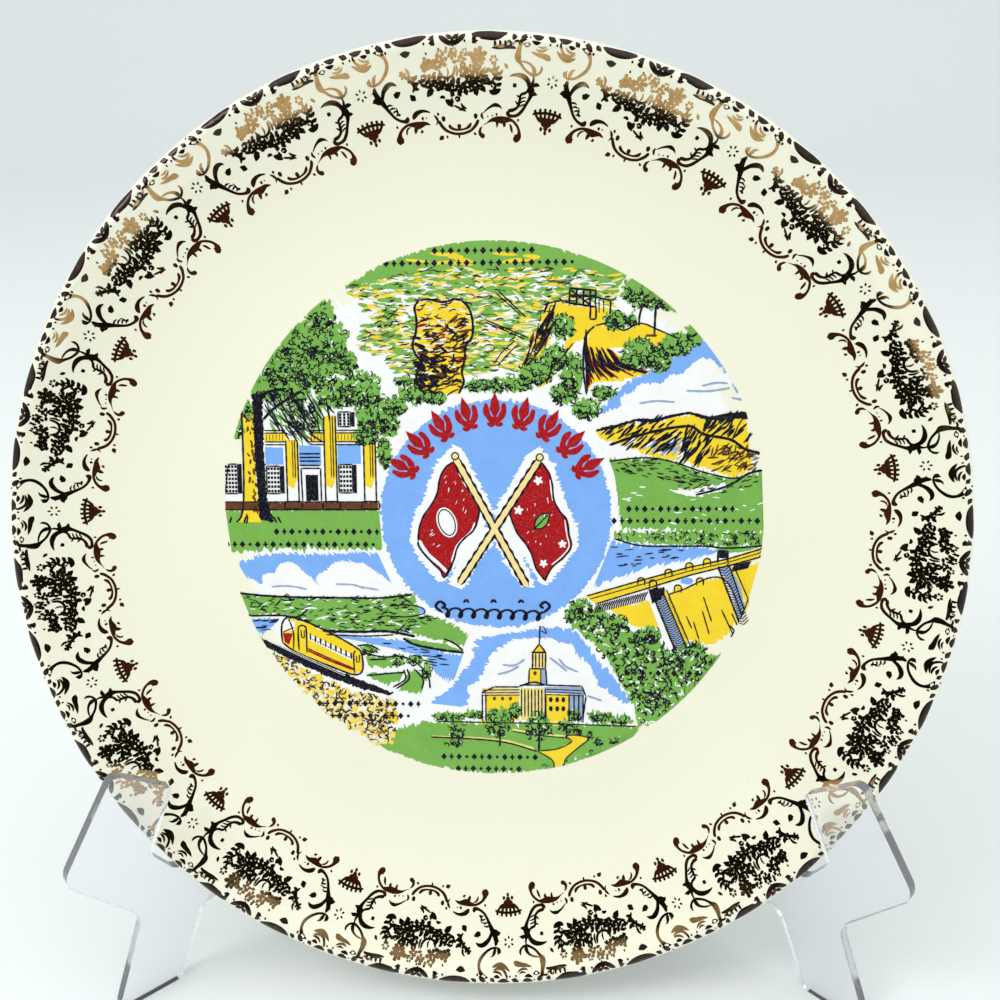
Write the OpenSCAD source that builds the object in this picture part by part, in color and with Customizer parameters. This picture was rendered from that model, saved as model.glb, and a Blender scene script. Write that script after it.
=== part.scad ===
// Souvenir plate on its folding clear stand.
// Frame: +Z up, +X to the right, +Y to the back. The plate faces -Y and leans back.
// The origin is on the shelf, under the middle of the whole object.

/* [Plate] */
// Diameter of the plate over its rim
plate_d = 254; // [240:1:264]
// Rise of the rim above the flat well
well_depth = 14; // [11:0.5:16]
// Diameter of the flat well, where the rim begins to curve up
well_d = 156; // [150:1:162]
// Thickness of the glazed earthenware
plate_t = 4.6; // [4:0.1:5.2]
// Outside diameter of the foot ring under the plate
foot_ring_d = 144; // [140:1:146]
// Width of the foot ring
foot_ring_w = 6; // [4:0.5:8]
// Height of the foot ring below the underside
foot_ring_h = 3; // [2:0.25:3.5]

/* [Printed transfers] */
// Diameter of the round picture in the well
picture_d = 148; // [130:1:148]
// Diameter inside the gilt border on the rim
border_inner_d = 186; // [180:1:200]
// Diameter outside the gilt border on the rim
border_outer_d = 246.5; // [240:0.5:246.5]
// Thickness of a fired transfer
transfer_t = 0.15; // [0.1:0.05:0.3]

/* [Stand] */
// Lean of the plate back from upright
lean = 18; // [17:0.5:19]
// Angle of each wing from the middle plane of the stand
wing_spread = 49; // [48:0.5:50]
// Thickness of a wing
wing_t = 3; // [2.5:0.25:3]
// Height of the rim rest above the shelf
rest_h = 45.3; // [42:0.1:50]
// Distance of each rim rest from the middle of the plate, sideways
rest_x = 90; // [89:0.5:91]
// Outside radius of the hinge knuckles
knuckle_r = 4.5; // [4:0.25:5]
// Radius of the hinge pin
pin_r = 2; // [1.5:0.1:2.5]
// Running clearance between the pin and its bore
pin_gap = 0.1; // [0.08:0.01:0.1]

/* [Hidden] */

// Plate section: a flat well, then one arc up to a round rim edge.
plate_r = plate_d / 2;
well_r = well_d / 2;
rim_run = plate_r - plate_t / 2 - well_r;
rim_turn = 2 * atan(well_depth / rim_run);
arc_mid_r = rim_run / sin(rim_turn);
arc_front_r = arc_mid_r - plate_t / 2;
arc_back_r = arc_mid_r + plate_t / 2;
arc_centre_z = arc_front_r - well_depth;
// The picture sits a little off the plate's centre.
picture_middle = [1.7, 3.4];
transfer_lift = 0.03;
arc_steps = 18;
edge_steps = 10;
under_z = -well_depth - plate_t;
foot_z = under_z - foot_ring_h;
foot_out_r = foot_ring_d / 2;
foot_in_r = foot_out_r - foot_ring_w;
foot_flare = 0.8;
round_facets = 180;
hinge_facets = 64;

// Where the rim meets a wing, and the height of the plate's centre.
rest_down = sqrt(plate_r * plate_r - rest_x * rest_x);
plate_z = rest_h + rest_down * cos(lean);
hinge_u = -rest_x / sin(wing_spread);
rest_y = -rest_down * sin(lean);
hinge_y = rest_y - hinge_u * cos(wing_spread);

// Wing profile, in the wing's own plane: u runs forward from the rim rest and v runs up from it.
// The hooked lip holds the rim, and the nose, chin and toe lead down its front to the shelf.
lip_gap = 2.85;
lip_top_v = 21.5;
lip_foot_v = 3;
lip_front = [8.5, 33.5];
nose = [26.9, 6.5];
chin = [8.6, -16];
floor_v = -rest_h;
toe = [20.6, floor_v];
heel = [1.2, floor_v];
// Arch between the front and rear feet
arch_v = -22;
arch_front = [-9.2, arch_v];
arch_back = [-76, arch_v];
rear_foot = [-88, floor_v];
// Rear support edge, a hair behind the foot ring, and the saddle under the rim
ring_gap = 0.35;
support_top_v = 80;
support_low_v = 24;
shoulder = [-88, support_top_v];
saddle_v = -5.6;
saddle_back = [-17, saddle_v];
saddle_front = [-2.6, saddle_v];
// Corner radii of the outline
tip_r = 1.5;
foot_r = 2;
lip_r = 2.5;
saddle_r = 3.5;
bend_r = 4;
nose_r = 6;
arch_r = 8;
corner_steps = 7;
panel_overlap = 0.5;
wing_end_u = hinge_u + pin_r + panel_overlap;
skew = wing_t / 2 * sin(wing_spread) * cos(lean);
u_per_depth = 1 / (cos(wing_spread) * cos(lean));
u_per_rise = -tan(lean) / cos(wing_spread);
// u of the line that stays at one distance in front of the plate's rim plane
function line_u(depth, v) = depth * u_per_depth + u_per_rise * v;
ring_depth = foot_z - skew - ring_gap;

// Hinge: the left wing has the low and high knuckles, the right wing the long middle one.
knuckle_top = 74;
knuckle_low = 22;
knuckle_high = 52;
knuckle_play = 0.3;
pin_head_r = 3.6;
pin_head_h = 1.8;
pin_foot_gap = 1;
past = 1;

// The origin is moved to the middle of the footprint.
nose_u = max([for (p = wing_points()) p.x]);
front_y = rest_y - nose_u * cos(wing_spread) - wing_t / 2 * sin(wing_spread);
back_y = hinge_y + knuckle_r;
middle_y = (front_y + back_y) / 2;

// One rounded corner of an outline, as points from a to b around corner p.
function unit(v) = v / norm(v);
function corner(a, p, b, r) =
    let (
        to_a = unit(a - p),
        to_b = unit(b - p),
        half = acos(to_a * to_b) / 2,
        middle = p + unit(to_a + to_b) * r / sin(half),
        start = p + to_a * r / tan(half) - middle,
        end = p + to_b * r / tan(half) - middle,
        sweep = 180 - 2 * half,
        side = start.x * end.y - start.y * end.x > 0 ? 1 : -1
    )
    [for (i = [0:corner_steps]) let (t = side * sweep * i / corner_steps)
        middle + [start.x * cos(t) - start.y * sin(t), start.x * sin(t) + start.y * cos(t)]];

// A closed outline from [point, radius] pairs.
function rounded(c) = let (n = len(c)) [
    for (i = [0:n - 1])
        each c[i][1] == 0 ? [c[i][0]] : corner(c[(i + n - 1) % n][0], c[i][0], c[(i + 1) % n][0], c[i][1])
];

// Points on an arc about the rim's arc centre, with the turn measured from the well's edge.
function rim_arc(r, from_turn, to_turn) = [
    for (i = [0:arc_steps]) let (t = from_turn + (to_turn - from_turn) * i / arc_steps)
        [well_r + r * sin(t), arc_centre_z - r * cos(t)]
];
function turn_at(radius) = asin((radius - well_r) / arc_front_r);

module plate_place() {
    translate([0, -middle_y, plate_z])
        rotate([90 - lean, 0, 0])
            children();
}

module plate_section() {
    edge = [well_r + arc_mid_r * sin(rim_turn), arc_centre_z - arc_mid_r * cos(rim_turn)];
    edge_arc = [
        for (i = [1:edge_steps - 1]) let (t = 90 + rim_turn - 180 * i / edge_steps)
            edge + plate_t / 2 * [cos(t), sin(t)]
    ];
    polygon(concat(
        [[0, -well_depth]],
        rim_arc(arc_front_r, 0, rim_turn),
        edge_arc,
        rim_arc(arc_back_r, rim_turn, 0),
        [
            [foot_out_r + foot_flare, under_z],
            [foot_out_r, foot_z],
            [foot_in_r, foot_z],
            [foot_in_r - foot_flare, under_z],
            [0, under_z]
        ]
    ));
}

module plate_body() {
    color("ivory")
        plate_place()
            rotate_extrude($fn = round_facets)
                plate_section();
}

module centre_transfer() {
    color("yellowgreen")
        plate_place()
            translate([picture_middle.x, picture_middle.y, -well_depth])
                cylinder(h = transfer_t, d = picture_d, $fn = round_facets);
}

module rim_transfer() {
    inner = turn_at(border_inner_d / 2);
    outer = turn_at(border_outer_d / 2);
    color("saddlebrown")
        plate_place()
            rotate_extrude($fn = round_facets)
                polygon(concat(
                    rim_arc(arc_front_r - transfer_lift, inner, outer),
                    rim_arc(arc_front_r - transfer_lift - transfer_t, outer, inner)
                ));
}

// The wing's outline, from the back of its lip round the nose, the feet, the hinge and the rim rest.
function wing_points() = rounded([
    [[line_u(lip_gap, lip_top_v), lip_top_v], tip_r],
    [lip_front, lip_r],
    [nose, nose_r],
    [chin, nose_r],
    [toe, foot_r],
    [heel, foot_r],
    [arch_front, nose_r],
    [arch_back, arch_r],
    [rear_foot, foot_r],
    [[wing_end_u, floor_v], 0],
    [[wing_end_u, knuckle_top - rest_h], 0],
    [[hinge_u + knuckle_r + panel_overlap, knuckle_top - rest_h], 0],
    [shoulder, arch_r],
    [[line_u(ring_depth, support_top_v), support_top_v], bend_r],
    [[line_u(ring_depth, support_low_v), support_low_v], bend_r],
    [saddle_back, nose_r],
    [saddle_front, saddle_r],
    [[line_u(lip_gap, lip_foot_v), lip_foot_v], lip_r]
]);

// side is -1 for the left wing and 1 for the right one. The panel's own X runs out from the hinge.
module wing_panel(side) {
    wing_turn = side < 0 ? 270 - wing_spread : 270 + wing_spread;
    translate([0, hinge_y - middle_y, 0])
        rotate([0, 0, wing_turn])
            translate([-hinge_u, 0, rest_h])
                rotate([90, 0, 0])
                    linear_extrude(height = wing_t, center = true)
                        polygon(wing_points());
}

module knuckle(z0, z1) {
    translate([0, hinge_y - middle_y, z0])
        cylinder(r = knuckle_r, h = z1 - z0, $fn = hinge_facets);
}

module hinge_bore() {
    translate([0, hinge_y - middle_y, -past])
        cylinder(r = pin_r + pin_gap, h = knuckle_top + 2 * past, $fn = hinge_facets);
}

// Room for the other wing's knuckles.
module knuckle_room(z0, z1) {
    translate([0, hinge_y - middle_y, z0])
        cylinder(r = knuckle_r + knuckle_play, h = z1 - z0, $fn = hinge_facets);
}

module left_wing() {
    color("lightcyan", 0.4)
        difference() {
            union() {
                wing_panel(-1);
                knuckle(0, knuckle_low);
                knuckle(knuckle_high, knuckle_top);
            }
            hinge_bore();
            knuckle_room(knuckle_low, knuckle_high);
        }
}

module right_wing() {
    color("lightcyan", 0.4)
        difference() {
            union() {
                wing_panel(1);
                knuckle(knuckle_low + knuckle_play, knuckle_high - knuckle_play);
            }
            hinge_bore();
            knuckle_room(-past, knuckle_low + knuckle_play);
            knuckle_room(knuckle_high - knuckle_play, knuckle_top + past);
        }
}

module hinge_pin() {
    color("gainsboro")
        translate([0, hinge_y - middle_y, 0]) {
            translate([0, 0, pin_foot_gap])
                cylinder(r = pin_r, h = knuckle_top - pin_foot_gap, $fn = hinge_facets);
            translate([0, 0, knuckle_top])
                cylinder(r = pin_head_r, h = pin_head_h, $fn = hinge_facets);
        }
}

plate_body();
centre_transfer();
rim_transfer();
left_wing();
right_wing();
hinge_pin();
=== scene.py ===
import math

import bmesh
import bpy
import mathutils
import numpy as np
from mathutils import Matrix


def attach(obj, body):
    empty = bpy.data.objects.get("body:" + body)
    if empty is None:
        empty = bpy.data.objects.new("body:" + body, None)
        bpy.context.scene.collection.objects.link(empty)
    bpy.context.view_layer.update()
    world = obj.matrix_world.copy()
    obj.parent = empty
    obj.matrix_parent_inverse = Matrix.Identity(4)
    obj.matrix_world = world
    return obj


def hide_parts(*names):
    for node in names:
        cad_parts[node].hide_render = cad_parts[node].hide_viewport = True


# Souvenir plate on its clear stand: the glazed plate, its gilt border, the printed picture and the two wings.

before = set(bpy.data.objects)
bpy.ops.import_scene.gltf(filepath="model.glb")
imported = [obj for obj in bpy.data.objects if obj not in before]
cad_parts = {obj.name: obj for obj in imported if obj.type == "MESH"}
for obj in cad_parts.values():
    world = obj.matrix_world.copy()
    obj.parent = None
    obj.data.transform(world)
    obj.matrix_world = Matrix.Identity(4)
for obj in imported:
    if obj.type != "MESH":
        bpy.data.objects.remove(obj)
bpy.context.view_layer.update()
mm = 0.001
chance = np.random.default_rng(11)

# The plate's shape and place, in millimetres. The same numbers as the CAD part.
plate = {
    "lean": 18, "middleY": 4.775, "centreZ": 130.519,
    "rimRadius": 127, "thickness": 4.6, "depth": 14, "wellRadius": 78,
    "ringOuter": 72, "ringInner": 66, "ringHeight": 3, "ringFlare": 0.8,
    "turns": 512, "rimSteps": 56, "edgeSteps": 16,
}

leanSin = math.sin(math.radians(plate["lean"]))
leanCos = math.cos(math.radians(plate["lean"]))
halfThick = plate["thickness"] / 2
rimRun = plate["rimRadius"] - halfThick - plate["wellRadius"]
rimTurn = 2 * math.atan(plate["depth"] / rimRun)
frontArc = rimRun / math.sin(rimTurn) - halfThick
backArc = frontArc + plate["thickness"]
arcEnd = plate["wellRadius"] + frontArc * math.sin(rimTurn)
edgeRadius = plate["rimRadius"] - halfThick


def frontHeight(r):
    # flat well, then the rim's arc n = arc - sqrt(arc^2 - out^2) - depth, then the round edge;
    # with the slope dn/dr
    out = np.clip(r - plate["wellRadius"], 0, arcEnd - plate["wellRadius"])
    onArc = np.sqrt(frontArc ** 2 - out ** 2)
    past = np.clip(r - edgeRadius, -halfThick * 0.98, halfThick * 0.98)
    onEdge = np.sqrt(halfThick ** 2 - past ** 2)
    height = np.where(r > arcEnd, onEdge - halfThick, frontArc - onArc - plate["depth"])
    slope = np.where(r > arcEnd, -past / onEdge, out / onArc)
    return height, slope


def plateToWorld(x, y, n):
    # x across, y up the plate, n out of its face, turned back by the lean and moved to the plate's centre
    return np.stack([x, y * leanSin - n * leanCos - plate["middleY"],
                     y * leanCos + n * leanSin + plate["centreZ"]], -1) * mm


def onPlate(xy, lift):
    # the point of the front surface at (x, y), moved out along the surface's normal by lift
    x, y = xy[..., 0], xy[..., 1]
    r = np.hypot(x, y)
    height, slope = frontHeight(r)
    tilt = 1 / np.sqrt(1 + slope ** 2)
    out = -slope * tilt * lift / np.maximum(r, 1e-6)
    return plateToWorld(x + x * out, y + y * out, height + tilt * lift)


def makePiece(name, body, blocks, finish, smooth=False):
    # joins blocks of (vertices, quads, triangles) into one mesh object that rides on a body
    verts = np.concatenate([b[0].reshape(-1, 3) for b in blocks])
    starts = np.cumsum([0] + [b[0].size // 3 for b in blocks[:-1]])
    quads = np.concatenate([b[1].reshape(-1, 4) + s for b, s in zip(blocks, starts)])
    tris = np.concatenate([b[2].reshape(-1, 3) + s for b, s in zip(blocks, starts)])
    corners = np.concatenate([quads.ravel(), tris.ravel()]).astype(np.int32)
    sides = np.concatenate([np.full(len(quads), 4), np.full(len(tris), 3)])
    mesh = bpy.data.meshes.new(name)
    mesh.vertices.add(len(verts))
    mesh.vertices.foreach_set("co", verts.astype(np.float32).ravel())
    mesh.loops.add(len(corners))
    mesh.loops.foreach_set("vertex_index", corners)
    mesh.polygons.add(len(sides))
    mesh.polygons.foreach_set("loop_start", (np.cumsum(sides) - sides).astype(np.int32))
    mesh.polygons.foreach_set("loop_total", sides.astype(np.int32))
    mesh.polygons.foreach_set("use_smooth", np.full(len(sides), smooth))
    mesh.update()
    mesh.validate()
    mesh.materials.append(finish)
    piece = bpy.data.objects.new(name, mesh)
    bpy.context.scene.collection.objects.link(piece)
    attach(piece, body)
    print("made", name, len(sides), "faces")
    return piece


noTris = np.zeros((0, 3), int)
underGlaze = -0.05  # how far the foot of every mark reaches below the glaze, in millimetres


def curveThrough(points, count):
    # Catmull-Rom: between two points the cubic whose slopes are half the chord of their neighbours
    p = np.asarray(points, float)
    p = np.vstack([2 * p[0] - p[1], p, 2 * p[-1] - p[-2]])
    t = np.linspace(0, len(p) - 3, count)
    i = np.minimum(t.astype(int), len(p) - 4)
    f = (t - i)[:, None]
    a, b, c, d = p[i], p[i + 1], p[i + 2], p[i + 3]
    bent, twisted = 2 * a - 5 * b + 4 * c - d, 3 * b - a - 3 * c + d
    return 0.5 * (2 * b + (c - a) * f + bent * f ** 2 + twisted * f ** 3)


def lineThrough(points, count):
    # straight runs between the points, with the samples spread evenly along the length
    p = np.asarray(points, float)
    run = np.concatenate([[0], np.cumsum(np.hypot(*np.diff(p[:, :2], axis=0).T))])
    s = np.linspace(0, run[-1], count)
    return np.stack([np.interp(s, run, column) for column in p.T], -1)


def brush(lines, widths, lift):
    # each line [samples, 2] becomes a sliver of ink: left and right edges at lift, and a keel under the glaze
    lines = np.asarray(lines, float)
    count, samples = lines.shape[:2]
    widths = np.broadcast_to(np.asarray(widths, float), (count, samples))
    along = np.gradient(lines, axis=1)
    along /= np.maximum(np.linalg.norm(along, axis=-1, keepdims=True), 1e-9)
    aside = np.stack([-along[..., 1], along[..., 0]], -1) * widths[..., None] / 2
    lifts = np.broadcast_to(np.asarray(lift, float).reshape(-1, 1), (count, samples))
    left, right = onPlate(lines + aside, lifts), onPlate(lines - aside, lifts)
    keel = onPlate(lines, np.full((count, samples), underGlaze))
    verts = np.stack([left, keel, right], 2)
    first = (np.arange(count)[:, None] * samples + np.arange(samples - 1)) * 3
    quads = first[..., None, None] + np.array([(2, 5, 3, 0), (0, 3, 4, 1), (1, 4, 5, 2)])
    start = np.arange(count) * samples * 3
    end = start + (samples - 1) * 3
    tris = np.concatenate([np.stack([start, start + 1, start + 2], -1),
                           np.stack([end + 2, end + 1, end], -1)])
    return verts.reshape(-1, 3), quads, tris


def slab(grid, lift):
    # a sheet of ink from a grid [rows, samples, 2], closed by walls down to a floor under the glaze
    across, along = grid[-1] - grid[0], np.gradient(grid[0], axis=0)
    if (along[:, 0] * across[:, 1] - along[:, 1] * across[:, 0]).sum() < 0:
        grid = grid[::-1]
    rows, samples = grid.shape[:2]
    size = rows * samples
    verts = np.concatenate([onPlate(grid, lift).reshape(-1, 3), onPlate(grid, underGlaze).reshape(-1, 3)])
    at = np.arange(size).reshape(rows, samples)
    top = np.stack([at[:-1, :-1], at[:-1, 1:], at[1:, 1:], at[1:, :-1]], -1).reshape(-1, 4)
    ring = np.concatenate([at[0, :-1], at[:-1, -1], at[-1, :0:-1], at[:0:-1, 0]])
    after = np.roll(ring, -1)
    walls = np.stack([ring, ring + size, after + size, after], -1)
    return verts, np.concatenate([top, top[:, ::-1] + size, walls]), noTris


# Every ink is one piece, and its layer is how far it stands off the glaze, in millimetres.
inks = {
    "white": {"layer": 0.016, "colour": (0.93, 0.94, 0.91), "slot": "white_ink"},
    "blue": {"layer": 0.026, "colour": (0.20, 0.42, 0.88), "slot": "blue_ink"},
    "halo": {"layer": 0.031, "colour": (0.93, 0.94, 0.91), "slot": "white_ink"},
    "green": {"layer": 0.036, "colour": (0.19, 0.44, 0.075), "slot": "green_ink"},
    "yellow": {"layer": 0.046, "colour": (0.93, 0.66, 0.02), "slot": "yellow_ink"},
    "straw": {"layer": 0.056, "colour": (0.86, 0.70, 0.24), "slot": "yellow_ink"},
    "mist": {"layer": 0.066, "colour": (0.30, 0.40, 0.58), "slot": "blue_ink"},
    "brown": {"layer": 0.076, "colour": (0.13, 0.045, 0.015), "slot": "brown_ink"},
    "red": {"layer": 0.088, "colour": (0.40, 0.005, 0.008), "slot": "red_ink"},
    "chalk": {"layer": 0.100, "colour": (0.93, 0.94, 0.91), "slot": "white_ink"},
    "black": {"layer": 0.112, "colour": (0.008, 0.008, 0.016), "slot": "black_ink"},
    "moss": {"layer": 0.0985, "colour": (0.19, 0.44, 0.075), "slot": "green_ink"},
    "gold": {"layer": 0.124, "colour": (0.90, 0.72, 0.30), "slot": "yellow_ink"},
}
printed = {name: [] for name in inks}
pictureMiddle = np.array([1.7, 3.4])
pictureRadius = 73.8


def layer(ink):
    # neighbouring marks of one ink differ by a hair in height, so that they never lie in one plane
    return inks[ink]["layer"] + (len(printed[ink]) % 11) * 0.0009


def kept(xy):
    # points beyond the picture's round edge are drawn in to it
    off = xy - pictureMiddle
    far = np.linalg.norm(off, axis=-1, keepdims=True)
    return pictureMiddle + off * np.minimum(1, pictureRadius / np.maximum(far, 1e-6))


def wash(ink, upper, lower, rag=0.35, step=0.45):
    # fills between two edges; a ragged edge moves each point in or out along the line that joins the two
    edges = [np.array(edge, float)[:, :2] for edge in (upper, lower)]
    samples = int(max(np.hypot(*np.diff(edge, axis=0).T).sum() for edge in edges) / step) + 3
    high, low = lineThrough(upper, samples), lineThrough(lower, samples)
    reach = high - low
    gap = np.maximum(np.linalg.norm(reach, axis=-1, keepdims=True), 1e-6)
    jag = np.clip(chance.normal(0, rag, (2, samples, 1)), -0.4 * gap, 3 * rag)
    printed[ink].append(slab(np.stack([kept(high + reach / gap * jag[0]),
                                       kept(low - reach / gap * jag[1])]), layer(ink)))


def pen(ink, points, width=0.4, straight=False):
    # one pen line, with ends that taper in
    p = np.asarray(points, float)
    length = np.hypot(*np.diff(p, axis=0).T).sum()
    samples = int(np.clip(length / 0.6, 4, 60)) + 2
    line = (lineThrough if straight else curveThrough)(p, samples)
    t = np.linspace(0, 1, samples)
    press = np.minimum(1, 0.45 + np.minimum(t, 1 - t) * length / max(width, 0.2))
    wobble = 1 + 0.12 * np.sin(t * length * 2.1 + len(printed[ink]))
    printed[ink].append(brush(kept(line)[None], width * press * wobble, layer(ink)))


def frameLines(ink, points, width):
    # straight pen lines from each point to the next
    for a, b in zip(points[:-1], points[1:]):
        pen(ink, [a, b], width, True)


def scatter(outline, count):
    # random points inside a closed outline: inside is where a ray from the point crosses the outline an odd
    # number of times
    o = np.asarray(outline, float)
    after = np.roll(o, -1, 0)
    p = chance.uniform(o.min(0), o.max(0), (count * 6, 2))
    crosses = (o[:, 1] > p[:, None, 1]) != (after[:, 1] > p[:, None, 1])
    rise = np.where(after[:, 1] == o[:, 1], 1e-9, after[:, 1] - o[:, 1])
    at = o[:, 0] + (p[:, None, 1] - o[:, 1]) * (after[:, 0] - o[:, 0]) / rise
    inside = (crosses & (p[:, None, 0] < at)).sum(1) % 2 == 1
    return p[inside][:count]


def dabs(ink, outline, count, length, width, turn=0, sweep=25, curl=0.0):
    # short brush marks: arcs of a chosen length, turn and curl, fattest in the middle
    middles = scatter(outline, count)
    middles = middles[np.hypot(*(middles - pictureMiddle).T) < pictureRadius - 0.4 * length]
    count = len(middles)
    t = np.linspace(-1, 1, 6)
    angle = np.radians(turn + chance.normal(0, sweep, (count, 1)))
    bend = np.radians(curl * chance.uniform(0.6, 1.3, (count, 1)) * chance.choice([-1, 1], (count, 1)))
    size = length * chance.uniform(0.55, 1.3, (count, 1))
    heading = angle + bend * t
    steps = np.stack([np.cos(heading), np.sin(heading)], -1) * size[..., None] / 5
    lines = np.cumsum(steps, 1)
    lines += (middles - lines.mean(1))[:, None]
    press = np.sqrt(1 - 0.92 * t ** 2) * width * chance.uniform(0.6, 1.25, (count, 1))
    lifts = inks[ink]["layer"] + (np.arange(count) % 13) * 0.0008
    printed[ink].append(brush(kept(lines), press, lifts))


def oval(x, y, rx, ry, count=18):
    # an outline for scatter: (x + rx cos a, y + ry sin a) at even steps of a
    a = np.linspace(0, 2 * np.pi, count, endpoint=False)
    return np.stack([x + rx * np.cos(a), y + ry * np.sin(a)], -1)


def closedOval(x, y, rx, ry, tilt, count=41):
    # one closed line for brush: an oval turned by tilt degrees about its middle
    a = np.linspace(0, 2 * np.pi, count)
    c, s = math.cos(math.radians(tilt)), math.sin(math.radians(tilt))
    px, py = rx * np.cos(a), ry * np.sin(a)
    return np.stack([x + px * c - py * s, y + px * s + py * c], -1)[None]


def blot(ink, x, y, rx, ry, rag=0.3, tilt=0):
    # a round mark, filled between its upper and lower halves
    a = np.linspace(0.06, np.pi - 0.06, 15)
    c, s = math.cos(math.radians(tilt)), math.sin(math.radians(tilt))
    halves = [np.stack([x + rx * np.cos(a) * c - ry * np.sin(a) * k * s,
                        y + rx * np.cos(a) * s + ry * np.sin(a) * k * c], -1) for k in (1, -1)]
    wash(ink, halves[0], halves[1], rag, min(0.45, max(rx, ry) / 6))


def bush(x, y, rx, ry, full=1.0):
    # leafy clump: a green ragged ground, white lights, curly pen marks, and more of them under it
    blot("moss", x, y, rx, ry, 0.5)
    area = oval(x, y, rx * 1.12, ry * 1.12)
    size = rx * ry
    dabs("moss", oval(x, y, rx * 1.2, ry * 1.2), int(size * 2.2) + 4, 1.3, 0.75, sweep=90)
    dabs("chalk", area, int(size * 0.45 * full) + 2, 1.1, 0.38, sweep=90)
    dabs("black", area, int(size * 2.3 * full) + 5, 1.9, 0.36, sweep=90, curl=95)
    dabs("black", oval(x, y - 0.55 * ry, rx, ry * 0.5), int(size * 1.1 * full) + 3, 1.6, 0.5, sweep=60,
         curl=80)


def caption(x0, x1, y):
    # a row of small lozenges, crosses and dots, one every 2.15 mm, in place of words
    for i, x in enumerate(np.arange(x0, x1, 2.15)):
        if i % 4 == 3:
            blot("black", x, y, 0.42, 0.42, 0.02)
        elif i % 4 == 1:
            pen("black", [(x, y - 0.85), (x, y + 0.85)], 0.5, True)
            pen("black", [(x - 0.65, y), (x + 0.65, y)], 0.5, True)
        else:
            wash("black", [(x - 0.8, y), (x, y + 0.95), (x + 0.8, y)],
                 [(x - 0.8, y - 0.05), (x, y - 0.95), (x + 0.8, y - 0.05)], 0.02, 0.5)


def roundWash(ink, x, y, r, rag, step=0.5):
    # a round ground: two half rings from near the middle out to a ragged edge
    for half in (0, np.pi):
        a = half + np.linspace(0, np.pi, int(np.pi * r / step))
        edge = r + chance.normal(0, rag, a.size)
        ring = np.stack([np.cos(a), np.sin(a)], -1)
        middle = np.array([x, y]) + ring * 0.05
        printed[ink].append(slab(np.stack([kept(np.array([x, y]) + ring * edge[:, None]), middle]),
                                 layer(ink)))


print("drawing the picture")
roundWash("white", 1.7, 3.4, 69.5, 0.9)


def hillside():
    # a valley floor: a ragged green ground, streaks laid over each other, two rails and a path
    meadow = [(-37, 65), (-20, 70), (20, 70), (36, 68), (34, 60), (18, 60), (13, 42), (-4, 42), (-22, 42),
              (-34, 50), (-30, 58)]
    wash("green", [(-37, 65.5), (-28, 71), (-15, 75.6), (0, 77.6), (12, 77), (24, 74), (33, 71), (38.5, 69)],
         [(-37, 64.5), (-26, 67.5), (-15, 68), (0, 68.5), (15, 68.5), (28, 67), (34, 63), (37.5, 67)])
    dabs("green", meadow, 760, 3.9, 0.95, sweep=10)
    dabs("straw", meadow, 190, 3.0, 0.6, sweep=12)
    dabs("yellow", meadow, 210, 3.0, 0.6, sweep=12)
    dabs("yellow", [(-16, 76), (20, 75.5), (24, 72.6), (-24, 70)], 18, 5.2, 0.9, sweep=8)
    dabs("chalk", meadow, 150, 2.8, 0.45, sweep=12)
    dabs("brown", meadow, 44, 2.0, 0.32, sweep=14)
    dabs("black", meadow, 260, 2.1, 0.32, turn=4, sweep=16, curl=38)
    for rail in ([(3.9, 64), (11.2, 57)], [(3.2, 63.4), (9.8, 57.6)], [(0, 56.6), (11.8, 51.6)],
                 [(0.2, 55.9), (10.8, 51.3)]):
        pen("black", rail, 0.34, True)
    pen("straw", [(8.6, 50.4), (5.4, 47.6), (3, 44.4)], 1.5)
    pen("black", [(8.2, 50.8), (4.8, 47.9), (2.5, 44.6)], 0.3)
    pen("black", [(9.0, 49.8), (6.0, 47.0), (3.6, 44.2)], 0.3)


def rockPillar():
    # a standing rock: a yellow ground between a left and a right outline, shaded by streaks
    left = [(-17.4, 61.7), (-18.6, 59.8), (-18.1, 56.5), (-18.4, 53), (-19.3, 50), (-18.6, 47.5),
            (-16.6, 44.5), (-18.4, 42), (-17.8, 39), (-16, 36.6)]
    right = [(-6, 61.7), (-4.2, 59.8), (-3.3, 57.4), (-3, 54), (-3.5, 51.5), (-5.1, 49.4), (-5.3, 46),
             (-6.1, 42.6), (-5.6, 40), (-7, 36.8)]
    grow = np.array([1.7, 0])
    wash("white", [(-16, 63.4)] + [tuple(np.array(p) - grow) for p in left],
         [(-7, 63.4)] + [tuple(np.array(p) + grow) for p in right], 0.5)
    wash("yellow", left, right, 0.12)
    pen("black", left, 0.62)
    pen("black", right, 0.62)
    pen("black", [(-17.4, 61.7), (-14.5, 61.9), (-11.6, 61.2), (-9.6, 61.4), (-8, 61.9), (-6, 61.7)], 0.6)
    dabs("brown", [(-18, 57), (-4, 57), (-6, 41), (-17, 41)], 26, 3.4, 0.8, turn=18, sweep=18, curl=20)
    dabs("red", [(-17, 55), (-5, 56), (-6, 44), (-16, 46)], 12, 2.8, 0.7, turn=16, sweep=16, curl=20)
    dabs("black", [(-18.4, 52), (-13, 51), (-10, 44), (-13, 37), (-18, 37)], 34, 3.3, 0.85, turn=-14,
         sweep=22, curl=20)
    dabs("black", [(-8, 57), (-3.6, 57), (-4.2, 52), (-7, 40), (-9, 44)], 22, 2.9, 0.6, turn=30, sweep=22,
         curl=20)
    dabs("black", [(-17, 43), (-6.6, 43), (-7, 37), (-16, 37)], 26, 3.2, 0.42, turn=12, sweep=14, curl=20)
    dabs("brown", [(-18, 50), (-5, 50), (-6, 38), (-17, 38)], 26, 3.0, 0.55, turn=8, sweep=24, curl=20)
    dabs("black", [(-18, 56), (-4, 56), (-5, 46), (-17, 46)], 22, 2.6, 0.45, turn=8, sweep=26, curl=30)


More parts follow.
